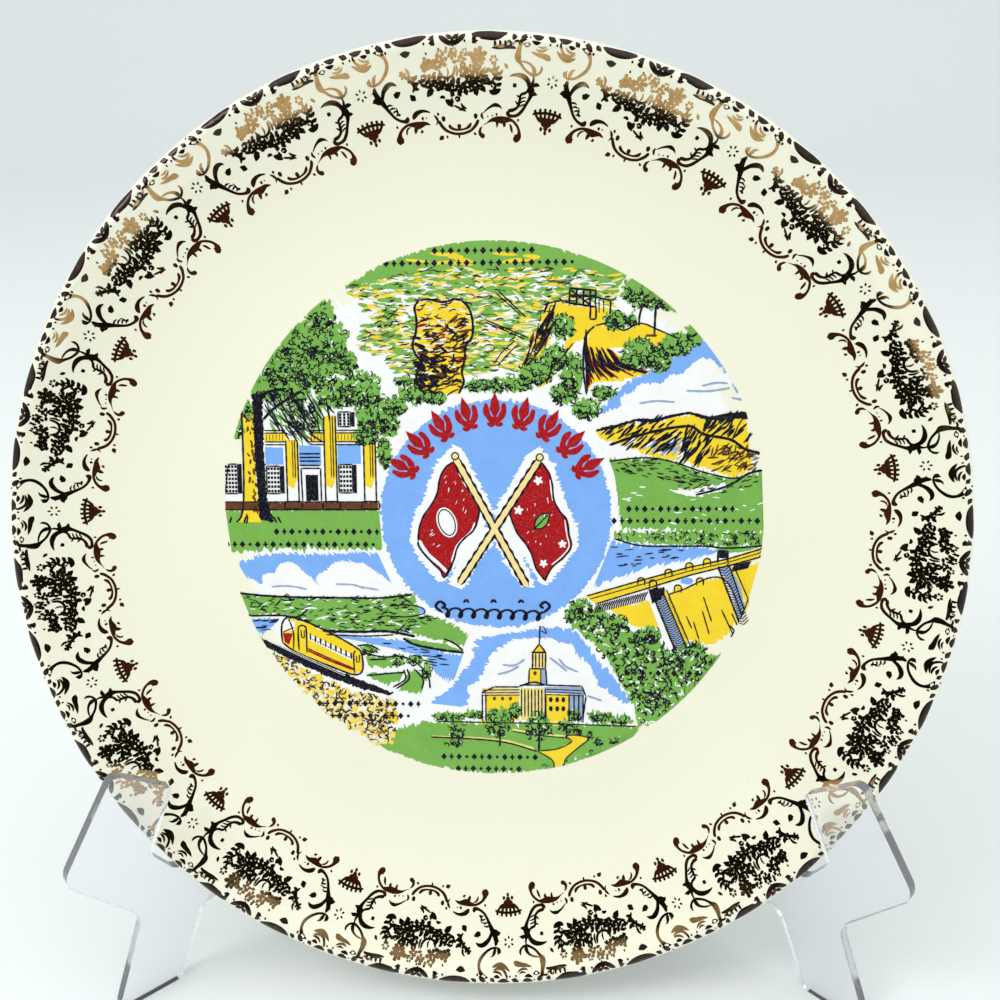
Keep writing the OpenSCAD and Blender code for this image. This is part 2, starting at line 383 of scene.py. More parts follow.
def lookout():
    # a railed lookout on a cliff: the cliff is hatched from its top line down to its foot
    wash("yellow", [(16.3, 59.6), (20, 61), (26, 59.6), (34, 59.4)],
         [(17.4, 57.8), (22, 53.6), (25.4, 50.4), (32.6, 55.6)], 0.2)
    wash("yellow", [(28.6, 55), (24.4, 50.4), (20.6, 45.5), (18.8, 42.5), (17, 39.4)],
         [(23.8, 55), (21.2, 49), (18, 44), (16.6, 41.4), (13.8, 37.8)], 0.2)
    wash("yellow", [(28.4, 54), (33, 55), (38, 53.4), (42, 55), (46, 53.5), (52, 51)],
         [(27.4, 50), (30, 47.6), (35, 49), (41, 49), (45, 48.4), (50.5, 50.6)], 0.2)
    cliff = [(16, 60), (18.6, 59), (18, 52), (14.6, 45), (10.4, 45), (12.6, 52)]
    wash("yellow", [(16.4, 59.6), (13, 52), (10.4, 45.4)], [(18.6, 58), (17.4, 50), (14.4, 45)], 0.25)
    dabs("brown", cliff, 26, 4.2, 0.62, turn=66, sweep=10)
    dabs("black", cliff, 30, 4.4, 0.58, turn=66, sweep=9)
    face = np.linspace(0, 1, 34)
    top = curveThrough([(27.2, 54.4), (26.8, 50.5), (29, 49.8), (33, 48.6)], 34)
    foot = curveThrough([(27.4, 36.8), (29.5, 39.5), (37, 40.2), (44, 42.2)], 34)
    wash("yellow", top, foot, 0.3)
    for i, f in enumerate(face):
        inkName = ("black", "brown", "black", "red", "black", "brown")[i % 6]
        start = top[i] + (foot[i] - top[i]) * chance.uniform(0, 0.3)
        end = top[i] + (foot[i] - top[i]) * chance.uniform(0.72, 1)
        bow = (start + end) / 2 + np.array([-1.3, -0.9]) * f
        pen(inkName, [start, bow, end], chance.uniform(0.35, 0.75))
    pen("black", [(29.4, 54.6), (27.4, 52.4), (26.5, 48), (26.6, 42), (27.4, 36.4)], 0.5)
    pen("black", [(16, 60.3), (20, 61.3), (22.6, 61)], 0.4)
    pen("black", [(23.8, 50.2), (21, 46.6), (18.2, 43.6), (17.2, 41), (14, 38.6)], 0.35)
    pen("black", [(29.6, 54.7), (34, 55.4), (37, 53.4), (41.6, 55.2), (46, 53.6), (52, 51)], 0.4)
    for x in (22.7, 24.6, 26.4, 28.2, 29.6):
        pen("black", [(x, 60), (x + 0.1, 64.3)], 0.5, True)
    for y0, y1 in ((64.6, 63.9), (62.8, 62.2), (60.7, 59.6)):
        pen("black", [(22.6, y0), (29.7, y1)], 0.55, True)
    frameLines("black", [(29.6, 62.2), (33.7, 61.2), (33.5, 57.6)], 0.5)
    frameLines("black", [(23, 64.2), (28.4, 60), (28.2, 56.4), (29.8, 56.4), (29.8, 60)], 0.5)
    for x in (30.6, 31.8):
        pen("black", [(x, 61.6), (x, 58)], 0.28, True)
    pen("black", [(41.2, 54.6), (41.3, 57), (42, 60)], 0.55)
    pen("black", [(45.3, 52.3), (45.4, 56), (45.6, 60)], 0.6)
    pen("brown", [(43, 52), (46, 52)], 0.7)
    for clump in ((40.6, 63.4, 3.6, 4.0), (45.2, 61.8, 3.4, 2.6), (49.6, 60.4, 3.2, 1.9),
                  (20.9, 54.4, 3.1, 3.2), (35, 56, 3.0, 2.4), (39, 56, 1.6, 1.5), (41.2, 47.2, 4.6, 4.2),
                  (46.5, 45.6, 3.4, 3.2), (51, 49.6, 4, 2.8), (56.4, 52.4, 2.4, 3.0), (14, 42.6, 4.4, 3.2),
                  (19, 46.4, 3.2, 3.2), (23.6, 41.6, 2.8, 5.6), (27.4, 32.6, 3.6, 2.8),
                  (21.4, 36.6, 3.4, 2.6), (32, 37, 3.2, 1.8), (9, 39.4, 3.6, 1.9), (3.8, 39, 3.6, 1.7),
                  (-1.6, 39, 3.4, 1.7), (-13.4, 35.6, 3.2, 1.5), (-19.6, 36.6, 3.6, 2.4),
                  (-24.4, 33.6, 3.0, 2.6), (-21.6, 40.2, 2.4, 1.3)):
        bush(*clump)


def mountains():
    # two ridges under a sky with puffs of cloud, and a meadow in front
    wash("blue", [(30.6, 32), (35, 36.6), (40, 41), (48, 44.5), (54, 48.5), (59.6, 51), (64, 47), (67, 43),
                  (69, 39), (69.6, 35.5)], [(31, 31), (36, 33), (41, 38.5), (47, 39.5), (53, 42.3),
                                            (57, 45.4), (60, 45.8), (63, 43.4), (66.4, 40.5), (68.6, 35)],
                                            0.45)
    for puff in ((44, 37.6, 3.4, 1.9), (51, 39.6, 3, 2.2), (58.6, 43, 3.6, 2.8), (63.6, 40.2, 2.6, 2),
                 (39, 35, 2.6, 1.8)):
        blot("halo", *puff, 0.25)
    for streak in ([(41.5, 34), (46, 34.6), (51, 34.3)], [(54, 37.3), (60, 37.2), (65.6, 38)],
                   [(58, 38.6), (62, 39.4), (65, 39.2)], [(66, 35.4), (69, 34.8)], [(67, 38.6), (68.4, 37)]):
        pen("mist", streak, 0.55)
    wash("yellow", [(30, 26.4), (38, 28.4), (46, 28.8), (55, 31), (60, 29.4), (66, 30), (70, 29.4)],
         [(31, 24.6), (38, 22.5), (45, 19.6), (52, 18.6), (60, 16.4), (67, 14), (72, 16.4)], 0.3)
    far = [(30, 27), (35, 28.4), (41, 29.9), (46, 29.8), (50, 31), (55, 31.8), (60, 30.4), (66, 31.4),
           (72, 31.8)]
    near = [(33.6, 22.8), (40, 25), (48, 27), (53.6, 27.8), (56, 27.6), (59, 25.6), (66, 24.2), (70, 21.6),
            (75, 20.4)]
    wash("black", far, [(30, 26.4), (35, 27.4), (41, 29.2), (46, 28.9), (50, 30.1), (55, 31.1), (60, 29.3),
                        (66, 29.8), (70.5, 29.6)], 0.12)
    pen("black", near, 0.75)
    dabs("black", [(32, 27), (42, 29.6), (50, 30.4), (50, 28), (41, 26), (33, 24.4)], 34, 3.0, 0.55,
         turn=42, sweep=8)
    dabs("black", [(58, 30), (72, 31.4), (72, 24), (67, 25), (60, 27)], 44, 3.6, 0.6, turn=48, sweep=9)
    dabs("black", [(34, 22.6), (48, 26.6), (54, 27.4), (50, 21), (40, 21)], 40, 3.8, 0.55, turn=40, sweep=8)
    dabs("black", [(54, 27), (60, 25), (60, 18), (52, 19)], 40, 4.0, 0.6, turn=56, sweep=8)
    dabs("mist", [(42, 24), (54, 25), (56, 19), (48, 20)], 22, 3.4, 0.8, turn=44, sweep=10)
    dabs("chalk", [(36, 24), (54, 26), (56, 19), (46, 20)], 20, 2.6, 0.6, turn=46, sweep=10)
    dabs("brown", [(60, 24), (72, 21), (73, 16), (62, 16)], 46, 2.6, 0.55, turn=34, sweep=24)
    dabs("black", [(64, 24), (73, 21), (74, 17), (64, 15)], 26, 2.2, 0.34, turn=20, sweep=28)
    wash("green", [(33.6, 18.8), (40, 19.2), (46, 19.4), (52, 18), (58, 15.6), (64, 14), (70, 14.4),
                   (76, 16)], [(35, 15.2), (36, 8), (37, -0.4), (46, -0.2), (56, -0.6), (64, -0.8),
                               (70, -1), (76, -1)], 0.5)
    pen("black", [(33.6, 18.4), (40, 19.2), (46, 19.2), (52, 17.8), (59, 15.4), (66, 13.8), (69, 14)], 0.4)
    pen("black", [(57, 9.2), (63, 10.8), (67, 12.4), (71, 15), (76, 16.2)], 0.6)
    wash("chalk", [(50, 10.6), (55, 10.6), (60, 11.6), (65, 12.6)],
         [(52, 9.6), (56, 8.7), (60, 9.2), (65, 11)], 0.25)
    dabs("black", [(35, 18.5), (46, 19), (60, 14.6), (66, 13), (56, 12), (45, 14), (35, 15.4)], 85, 1.7,
         0.32, turn=-10, sweep=10, curl=15)
    dabs("black", [(50, 12), (64, 13), (72, 15), (76, 14), (70, 10.4), (58, 9)], 40, 1.6, 0.3, turn=18,
         sweep=12)
    dabs("chalk", [(35, 14), (60, 12), (75, 10), (75, 1), (37, 1)], 26, 1.8, 0.35, sweep=14)


def dam():
    # a lake held by a dam with piers, a roadway along its top, and water marks down its face
    wash("green", [(35, -0.8), (45, -1.0), (55, -0.8), (65, -1.0), (76, -1.2)],
         [(35, -2.6), (42, -4), (50, -4.5), (58, -4.5), (66, -5), (76, -4.6)], 0.4)
    dabs("black", [(36, -0.8), (76, -1), (76, -4.4), (58, -4.4), (36, -2.6)], 95, 1.8, 0.34, sweep=70,
         curl=90)
    dabs("chalk", [(36, -0.8), (76, -1), (76, -4.4), (58, -4.4), (36, -2.6)], 26, 1.0, 0.4, sweep=60)
    wash("green", [(62, -5), (69, -4.9), (76, -4.9)], [(64, -6.5), (69, -6.6), (72, -6)], 0.2)
    wash("blue", [(34.6, -3), (42, -4.6), (52, -5), (60, -5.2), (64, -6)],
         [(29.6, -16.2), (36, -13.6), (44, -11.2), (52, -9.4), (62, -7)], 0.6)
    pen("black", [(35, -2.8), (42, -4.7), (52, -4.9), (60, -4.9), (66, -5.4), (76, -4.7)], 0.45)
    dabs("black", [(35, -5), (58, -6), (46, -10), (33, -14)], 26, 1.9, 0.36, sweep=5)
    wash("mist", [(45.6, -17.4), (52, -33.8)], [(48.4, -17.4), (55.4, -33.6)], 0.1)
    wash("mist", [(63.4, -10.6), (67, -16), (69.6, -26.6)], [(66.4, -10.2), (69.6, -16), (72, -26)], 0.1)
    wash("yellow", [(49.6, -18.6), (54, -17), (58, -15.4), (61, -13.8), (64.4, -13.6)],
         [(54.8, -30.6), (58, -32), (62, -32.2), (66, -30), (69, -26)], 0.4)
    wash("yellow", [(34, -22.6), (39, -21.4), (44.6, -20)], [(40.6, -27.4), (44, -28), (47.6, -27.6)], 0.35)
    wash("yellow", [(67.6, -11.2), (75, -9.4)], [(72, -21), (73, -18.6)], 0.3)
    wash("yellow", [(27.6, -19), (41, -15), (55, -11), (66, -8.5), (76, -5.4)],
         [(30, -21), (43, -17), (56, -12.8), (67, -10), (76, -7.4)], 0.06)
    pen("black", [(27.6, -18.9), (41, -14.9), (55, -10.9), (66, -8.4), (76, -5.3)], 0.42, True)
    pen("black", [(30.2, -21.1), (43, -17.1), (56, -12.9), (67, -10.1), (76, -7.5)], 0.42, True)
    pen("black", [(28.4, -19.8), (42, -15.8), (55.6, -11.8), (66.6, -9.2), (76, -6.3)], 0.26, True)
    for x, y in ((42.6, -15), (45.8, -15.6), (50, -12.6), (55.6, -10.8), (60.4, -9.6), (52.6, -17),
                 (58.6, -15)):
        blot("yellow", x, y, 0.95, 1.1, 0.05)
        pen("black", [(x - 0.9, y - 0.9), (x - 0.9, y + 0.8), (x, y + 1.3), (x + 0.9, y + 0.8),
                      (x + 0.9, y - 0.9)], 0.38)
    blot("blue", 55, -14.6, 1.7, 1.0, 0.1)
    frameLines("black", [(63.3, -9.6), (63.3, -6.2), (66, -6.2), (66, -9.4)], 0.5)
    wash("black", [(63.4, -6.4), (66, -6.4)], [(63.4, -8.2), (66, -8.2)], 0.05)
    for a, b, c, d, count in (((45.4, -17.6), (48.4, -17.4), (52, -33.8), (55.4, -33.6), 26),
                              ((63.4, -10.6), (66.4, -10.2), (69.6, -26.4), (72, -26), 22)):
        t = np.linspace(0, 1, count)[:, None]
        lefts = np.array(a) + (np.array(c) - a) * t
        rights = np.array(b) + (np.array(d) - b) * t
        fill = np.stack([lefts, lefts * 0.5 + rights * 0.5 + [0, -0.5], rights + [0, 0.6]], 1)
        printed["black"].append(brush(fill, 0.26, layer("black")))
        pen("black", [a, c], 0.5, True)
        pen("black", [b, d], 0.4, True)
    wash("black", [(44.6, -17), (47, -16.4), (49, -16.6)], [(45.6, -20.6), (47.6, -20), (49, -18.4)], 0.2)
    for a, b in (((48.6, -17.2), (55.8, -34)), ((66.8, -10.6), (73, -24.6))):
        offset = np.array([0.9, 0.2])
        pen("yellow", [np.array(a) + offset / 2, np.array(b) + offset / 2], 1.1, True)
        pen("black", [np.array(a) + offset, np.array(b) + offset], 0.34, True)
    under = np.linspace(0, 1, 22)[:, None]
    high = np.array([31, -21.2]) + np.array([13.4, 3.6]) * under
    printed["black"].append(brush(np.stack([high, high + [-0.7, -1.3], high + [-1.0, -2.6]], 1), 0.34,
                                  layer("black")))
    high = np.array([68, -10]) + np.array([8, 1.9]) * under[:12]
    printed["black"].append(brush(np.stack([high, high + [-0.5, -1.0], high + [-0.8, -2.0]], 1), 0.34,
                                  layer("black")))
    for drip in ([(59.6, -19), (62, -26)], [(59.4, -23), (61.4, -29.6)], [(55, -24.4), (56.6, -28)],
                 [(64.6, -22.6), (68.6, -31)], [(57, -26), (58.6, -31)], [(67, -27), (69.8, -30.4)],
                 [(67.4, -23.6), (69, -27)]):
        pen("black", drip, 0.36, True)
    pen("black", [(50, -18.4), (54, -17), (58, -15), (61, -13.7), (64, -13.6), (66.4, -15.4), (68.4, -19.4),
                  (70.4, -25)], 0.4)


def shrubs():
    # a slope of bushes under the dam
    wash("green", [(23, -24), (27, -20.6), (31, -21.4), (36, -25.4), (40, -29), (45, -29), (50, -34),
                   (57, -32.6), (62, -36.4), (66, -36.6)], [(22, -26), (28, -31), (33, -36), (37, -43),
                                                            (41, -50), (42, -56), (48, -55), (54, -50),
                                                            (60, -44), (66.4, -37.4)], 0.6)
    slope = [(23, -24), (27, -20), (31, -21), (36, -25), (40, -29), (45, -28), (50, -34), (57, -32),
             (62, -36), (66, -36), (60, -45), (50, -55), (43, -56), (41, -50), (36, -41), (28, -31)]
    dabs("chalk", slope, 130, 1.4, 0.5, sweep=90)
    dabs("black", slope, 330, 2.1, 0.48, sweep=90, curl=105)
    for clump in ((26, -22, 3.2, 2.0), (36.4, -26.6, 2.6, 2), (45, -30, 3.4, 2.2), (57, -34, 3.4, 2),
                  (63.4, -37, 3, 1.8), (46.4, -47, 3.2, 3), (24, -24.6, 2.4, 1.8), (52, -36, 3, 1.8)):
        bush(*clump)


def publicBuilding():
    # a yellow building with two wings, a portico and a tower, on a lawn with paths and trees
    wash("blue", [(-16, -50), (-9, -44), (-4, -37), (-3, -31.5), (4, -30), (12, -28.4), (19, -27.6),
                  (25, -29), (30, -36), (36, -43), (40, -49)],
                  [(-6.5, -51), (-2.6, -43), (1, -37), (3, -34), (8, -31.2), (12, -31), (18, -31),
                   (22, -33), (28, -38), (31, -44), (38.4, -50)], 0.5)
    for puff in ((4, -37, 3.6, 2.6), (9, -33.6, 3.4, 2.2), (21, -34.4, 3.6, 2.2), (26, -40, 3.2, 2.4),
                 (31, -47, 3, 2), (-3, -46, 2.6, 2.2)):
        blot("halo", *puff, 0.25)
    for streak in ([(4.4, -38.6), (7.6, -38.8), (10.6, -37)], [(3, -41.4), (6, -40.6), (9, -39)],
                   [(17.4, -36.4), (20, -38.4), (22.4, -40.4)], [(20, -36.8), (22, -39), (25.4, -40.6)],
                   [(28, -47.4), (32, -48.8)]):
        pen("mist", streak, 0.6)
    # roof, wings, portico and tower
    wash("yellow", [(-0.6, -47.2), (9, -47.2)], [(-0.6, -54.8), (9, -54.8)], 0.05)
    wash("yellow", [(16.4, -47), (22.8, -47)], [(16.4, -54.6), (22.8, -54.6)], 0.05)
    wash("mist", [(22.8, -47), (27, -47)], [(22.8, -54), (27, -55.4)], 0.05)
    wash("straw", [(-1.4, -45.4), (3, -45.2), (9, -45.6)], [(-1.4, -47), (3, -47), (9, -47)], 0.05)
    wash("straw", [(9.4, -45.2), (16, -45.2)], [(9.4, -54.6), (16, -54.6)], 0.05)
    wash("mist", [(16, -45), (26, -44.8)], [(16, -46.4), (27.6, -47.2)], 0.05)
    wash("yellow", [(11.8, -39.6), (15, -39.6)], [(11.6, -43.6), (15, -43.6)], 0.05)
    wash("mist", [(15, -39.6), (16.4, -39.8)], [(15, -44.6), (16.6, -44.6)], 0.05)
    wash("straw", [(12.8, -35), (16.2, -35)], [(12.8, -39.4), (16.2, -39.4)], 0.05)
    wash("yellow", [(14.4, -32.8), (14.8, -32.8)], [(12.8, -35), (16.4, -35)], 0.05)
    frameLines("black", [(-1.6, -46.8), (2, -45), (9, -45), (9.4, -44.4), (16.2, -44.4), (26.4, -44.6),
                         (27.6, -47.6), (26.8, -54)], 0.42)
    for y in (-45.6, -46.4, -47.1):
        pen("black", [(-1.4, y - 0.4), (9.2, y - 0.2)], 0.28, True)
        pen("black", [(16.2, y), (26.6, y - 0.3)], 0.28, True)
    for x in np.arange(9.6, 16.4, 0.95):
        pen("black", [(x, -45.6), (x, -53.6)], 0.36, True)
    for x in (-1.4, -0.4, 22.9, 24.3, 25.6, 26.8, 16.4):
        pen("black", [(x, -47), (x, -55)], 0.4, True)
    for x in (2, 4.3, 6.5):
        blot("brown", x, -48.4, 0.45, 0.55, 0.02)
    for x in (17.8, 19.6, 21.3):
        for y in (-48.6, -51.2):
            blot("black", x, y, 0.52, 0.75, 0.03)
    blot("brown", 13.4, -41, 0.5, 0.6, 0.02)
    frameLines("black", [(11.6, -44.4), (11.8, -39.7), (16.4, -39.7), (16.7, -44.4)], 0.42)
    pen("black", [(15, -39.8), (15, -44)], 0.3, True)
    frameLines("black", [(12.7, -39.6), (12.8, -35), (14.6, -32.6), (16.4, -35), (16.3, -39.6)], 0.45)
    for x in (13.6, 14.6, 15.5):
        pen("black", [(x, -35.2), (x, -39.4)], 0.34, True)
    pen("black", [(12.4, -35), (16.6, -35)], 0.5, True)
    pen("black", [(14.6, -32.8), (14.8, -27.4)], 0.4, True)
    pen("black", [(14.9, -27.5), (16, -28), (16.6, -29.6), (15.8, -29.2), (15, -28.8)], 0.3)
    pen("black", [(9, -44.8), (13, -43.6), (16.4, -44.4)], 0.5)
    dabs("yellow", [(-4, -54), (9, -54), (22, -54), (24, -56), (-3, -56)], 18, 3, 0.8, sweep=4)
    # lawn, paths and trees
    wash("green", [(-31, -62), (-25, -57), (-18, -55.4), (-8, -55.4), (0, -55.6), (10, -55.6), (20, -55.6),
                   (30, -55.8), (43, -56.4)], [(-29, -63.6), (-20, -67.4), (-10, -69.8), (0, -70.6),
                                               (10, -70), (20, -68.4), (30, -65.6), (41, -60.4)], 0.5)
    wash("straw", [(-15.6, -59.4), (-2, -59.8), (6, -60.6), (13, -62.6)],
         [(-15.6, -59.9), (-2, -60.4), (6, -61.3), (13, -63.3)], 0.06)
    pen("black", [(-16, -59.8), (-2, -60.4), (6, -61.4), (14, -63.8)], 0.42)
    pen("black", [(-14, -55.2), (0, -55.4), (18, -55.6), (42, -56.2)], 0.34)
    pen("straw", [(7, -57.4), (14, -58.6), (22, -59.2)], 0.55)
    pen("black", [(7, -57.9), (14, -59), (22, -59.7)], 0.3)
    wash("yellow", [(14.5, -63.7), (19.5, -63), (23.5, -60.8), (22.2, -59.2), (25, -58.9)],
         [(18.3, -66.4), (21.5, -66), (25.2, -62.8), (26.8, -61.2), (28.3, -59.8)], 0.08)
    wash("yellow", [(18.4, -66), (22, -65.6)], [(18.8, -69.4), (21.4, -69.2)], 0.1)
    pen("black", [(14.4, -63.8), (18.3, -66.4), (18.7, -69.2)], 0.36)
    pen("black", [(21.4, -69.2), (22, -66), (25.2, -62.8), (28.4, -59.9), (25, -58.9), (22, -59.2),
                  (23.6, -60.8), (19.5, -63), (14.5, -63.6)], 0.34)
    for x, y0, y1, w in ((3.4, -57, -62.4, 0.5), (14.4, -58, -64, 0.55), (22.2, -56, -60, 0.4),
                         (-8.4, -59, -62.6, 0.5), (25.6, -57, -58.4, 0.3)):
        pen("black", [(x, y0), (x + 0.15, (y0 + y1) / 2), (x, y1)], w)
    for clump in ((3.2, -55.4, 3.6, 4.0), (7.8, -51.8, 1.7, 1.8), (14.4, -56.4, 3.4, 4.0),
                  (22, -56.4, 2.0, 1.8), (25.8, -57.2, 1.3, 1.2), (24.4, -53, 1.7, 1.6),
                  (-8.8, -57.4, 2.2, 2.4), (-11, -53.8, 4.6, 1.0), (-4, -53, 2.6, 1.2),
                  (32, -53.6, 3.8, 1.3), (37.4, -54.4, 2.6, 1.1), (31, -60.8, 1.0, 1.0),
                  (36, -60.4, 1.7, 1.3), (29.8, -64.8, 1.7, 1.5), (23.6, -67.2, 2.2, 1.7),
                  (17.4, -68.4, 1.6, 1.2), (28.6, -58.8, 0.8, 0.9), (-9.4, -61.6, 2.6, 0.9)):
        bush(*clump, full=1.15)


def inclineCar():
    # a river among hills, a stony slope, and a car with slanted windows on its track
    wash("blue", [(-69, -10.4), (-64, -8), (-58, -7), (-48, -7.5), (-38, -7), (-30, -7)],
         [(-67, -14), (-63, -15.6), (-59, -12), (-55, -9.8), (-51, -12), (-47, -15.6), (-44, -11.4),
          (-40, -9.5), (-34, -9.8), (-26.5, -15)], 0.5)
    for puff in ((-55, -12.2, 3.6, 2.4), (-60, -14.4, 2.6, 1.8), (-40, -12, 4, 2.6), (-45, -14.4, 2.4, 1.8),
                 (-34, -13.4, 2.8, 2.0)):
        blot("halo", *puff, 0.25)
    for streak in ([(-60, -16.6), (-55, -16.4), (-50, -17.3)], [(-42, -15.8), (-37, -16), (-34, -17)],
                   [(-36, -16.4), (-30, -17.4)]):
        pen("mist", streak, 0.5)
    hills = [(-69, -18.6), (-45, -19.6), (-20, -18.6), (-19, -24), (-12, -26), (-22, -29.4), (-45, -29.4),
             (-56, -25), (-67, -24.4)]
    wash("green", [(-69.4, -18.5), (-58, -19.3), (-45, -19.6), (-30, -19.6), (-20, -18.4)],
         [(-67.6, -24.6), (-56, -25), (-46, -29.4), (-30, -29.4), (-17.6, -29)], 0.4)
    wash("green", [(-17, -24), (-12, -25.6), (-5, -30)], [(-21, -29.6), (-14, -31.6), (-6.4, -33.2)], 0.4)
    wash("blue", [(-29, -27.6), (-24, -27), (-16, -26)], [(-29, -28.6), (-22, -28.8), (-16, -28)], 0.3)
    wash("blue", [(-24.4, -22), (-20, -21.8), (-17.4, -22.8)], [(-24, -24.6), (-20, -24.8), (-17.2, -23.6)],
         0.1)
    wash("blue", [(-45, -30.4), (-33, -31), (-22, -32), (-12, -35)],
         [(-37, -31.8), (-27, -34), (-20, -36), (-12, -37.4)], 0.4)
    wash("blue", [(-17, -36), (-11, -35.4), (-6.6, -35.6)], [(-14, -42), (-11.4, -43.2), (-9, -42.4)], 0.5)
    wash("blue", [(-67, -26), (-62, -25.6), (-58, -26)], [(-65.6, -28.6), (-63, -30), (-60.6, -28.4)], 0.3)
    dabs("chalk", hills, 70, 2.0, 0.4, turn=4, sweep=14)
    dabs("black", hills, 190, 1.9, 0.34, turn=6, sweep=22, curl=30)
    pen("black", [(-69.4, -18.5), (-58, -19.4), (-45, -19.6), (-30, -19.7), (-20.4, -18.6)], 0.55)
    pen("black", [(-68, -25), (-58, -24.8), (-53, -25.2), (-50, -23)], 0.5)
    pen("black", [(-46, -29.2), (-36, -29.4), (-28, -29.2), (-20, -30.6)], 0.75)
    pen("black", [(-45, -30.2), (-34, -30.6), (-26, -30.2)], 0.4)
    pen("black", [(-27, -22), (-22, -21.6), (-18, -22.4), (-17.4, -24), (-22, -25), (-28, -24.8)], 0.36)
    wash("green", [(-23, -31), (-17, -32), (-11, -33), (-6.6, -34.8)],
         [(-23, -32), (-17, -33.4), (-12, -34.4), (-7, -35.2)], 0.15)
    pen("black", [(-23.4, -31.2), (-20, -33), (-13, -34.4), (-6.4, -35.2)], 0.7)
    pen("black", [(-12, -31.2), (-9, -32.6), (-6.6, -34.6)], 0.5)
    dabs("black", [(-30, -32), (-14, -34.6), (-10, -41), (-15, -40), (-24, -34.4)], 22, 2.4, 0.36, turn=-8,
         sweep=6)
    dabs("black", [(-67, -26), (-59, -26), (-62, -29.6)], 12, 2.4, 0.4, turn=4, sweep=5)
    for field in (([(-34, -36.6), (-28, -36.4), (-24, -37)], [(-33.4, -39), (-28, -39.8), (-25, -39)]),
                  ([(-33.6, -41.4), (-28, -41.4), (-23.4, -41)],
                   [(-32, -43.4), (-28, -44.4), (-24.6, -43.6)]),
                   ([(-22, -41), (-19, -40.4), (-17.6, -44)], [(-24.6, -46), (-21, -47.4), (-18.4, -46.8)])):
        wash("green", *field, 0.35)
    for line in ([(-34, -35.6), (-29, -36.6), (-24, -36.4), (-19.6, -38.4), (-16.6, -42), (-16, -45.6)],
                 [(-34, -42), (-28, -41.4), (-23, -41)], [(-22.4, -40), (-22, -43), (-25.6, -45.8)],
                 [(-23.4, -40.2), (-23, -43), (-26.6, -45.4)], [(-20.4, -40), (-18, -43), (-18.4, -46)],
                 [(-36.4, -33.4), (-33, -33.2), (-30, -34.6)], [(-33, -37.4), (-28, -37.2)]):
        pen("black", line, 0.45)
    for clump in ((-33, -34.6, 2.4, 1.2), (-25, -37.6, 1.8, 1.4), (-20, -37.6, 2.2, 1.2),
                  (-17, -40.6, 1.3, 2.2)):
        bush(*clump)
    # stony slope
    slope = [(-62.4, -33.6), (-50, -41), (-38, -46.6), (-26, -48.6), (-25, -55), (-27, -61.6), (-32, -62.6),
             (-41, -58), (-50, -50), (-58, -42)]
    dabs("straw", slope, 150, 2.1, 1.2, sweep=60)
    dabs("yellow", slope, 210, 1.9, 1.05, sweep=60)
    dabs("chalk", slope, 60, 1.2, 0.6, sweep=60)
    dabs("brown", slope, 110, 1.5, 0.5, sweep=50, curl=40)
    dabs("black", slope, 165, 1.7, 0.40, sweep=60, curl=75)
    # track and car
    wash("black", [(-64.8, -30.8), (-55, -35), (-45, -39.4), (-35, -43.6), (-26.4, -47)],
         [(-63.4, -33.2), (-55, -37.6), (-45, -42.3), (-35, -46), (-27.4, -47.7)], 0.16)
    wash("brown", [(-64, -31.3), (-45, -40), (-27.6, -47.1)],
         [(-63.6, -31.7), (-45, -40.5), (-27.8, -47.4)], 0.04)
    printed["chalk"].append(brush(np.array([[(-62, -31.6), (-50, -37.2), (-40, -41.6)],
                                            [(-61.6, -32.1), (-50, -37.7), (-40, -42.1)]]), 0.14, 0.14))
    wash("yellow", [(-57.2, -27.5), (-55, -25.6), (-50, -27), (-43, -30.4), (-37, -33.8), (-35.3, -35.4)],
         [(-57.5, -32.6), (-54.5, -34.8), (-50, -36.9), (-43, -39.6), (-37.5, -41.8), (-35.1, -40.4)], 0.04)
    wash("chalk", [(-57.2, -27.4), (-55.6, -25.9), (-53.6, -26.8)],
         [(-57.3, -29.4), (-55.4, -29.2), (-54, -29.2)], 0.03)
    wash("mist", [(-57, -28.2), (-55.6, -27.4), (-54.2, -27.8)], [(-57, -29), (-55.6, -29), (-54.2, -29)],
         0.03)
    wash("red", [(-57.2, -29.8), (-54.4, -30)], [(-56.8, -32.4), (-55.6, -33.2)], 0.03)
    wash("chalk", [(-50, -30), (-44, -33), (-37.8, -36)], [(-50, -31.7), (-44, -34.7), (-37.8, -37.8)], 0.03)
    for i in range(9):
        x = -49.5 + i * 1.42
        y = -30.6 - i * 0.69
        pen("black", [(x, y + 0.7), (x + 0.05, y - 1.2)], 0.5, True)
        pen("black", [(x + 0.5, y - 1.0), (x + 1.1, y - 1.35)], 0.3, True)
    pen("red", [(-50.4, -34.8), (-44, -37.8), (-37.4, -40.4)], 0.62, True)
    pen("black", [(-57.4, -32.6), (-57.6, -29), (-57, -26.4), (-55, -25.3), (-50, -26.8), (-43, -30.2),
                  (-37, -33.7), (-35.2, -35.6), (-35, -40.4), (-37.4, -41.8), (-43, -39.8), (-50, -37),
                  (-54.6, -34.8), (-57.4, -32.6)], 0.5)
    pen("black", [(-54.4, -34.6), (-54.2, -30), (-55, -27), (-55.6, -25.8)], 0.4)
    pen("black", [(-52.8, -35), (-52.9, -29), (-52.2, -27.7), (-51, -27.9), (-50.6, -29), (-50.6, -35.6)],
        0.45)
    frameLines("black", [(-52.1, -28.8), (-52, -31), (-51.2, -31.2), (-51.2, -28.8)], 0.3)
    pen("black", [(-37.3, -41.4), (-37.4, -36), (-36.8, -34.9)], 0.42)
    frameLines("black", [(-36.6, -36.2), (-36.6, -38.2), (-35.8, -38), (-35.8, -36)], 0.32)
    pen("black", [(-50.4, -34.2), (-44, -37.2), (-37.4, -40)], 0.3, True)
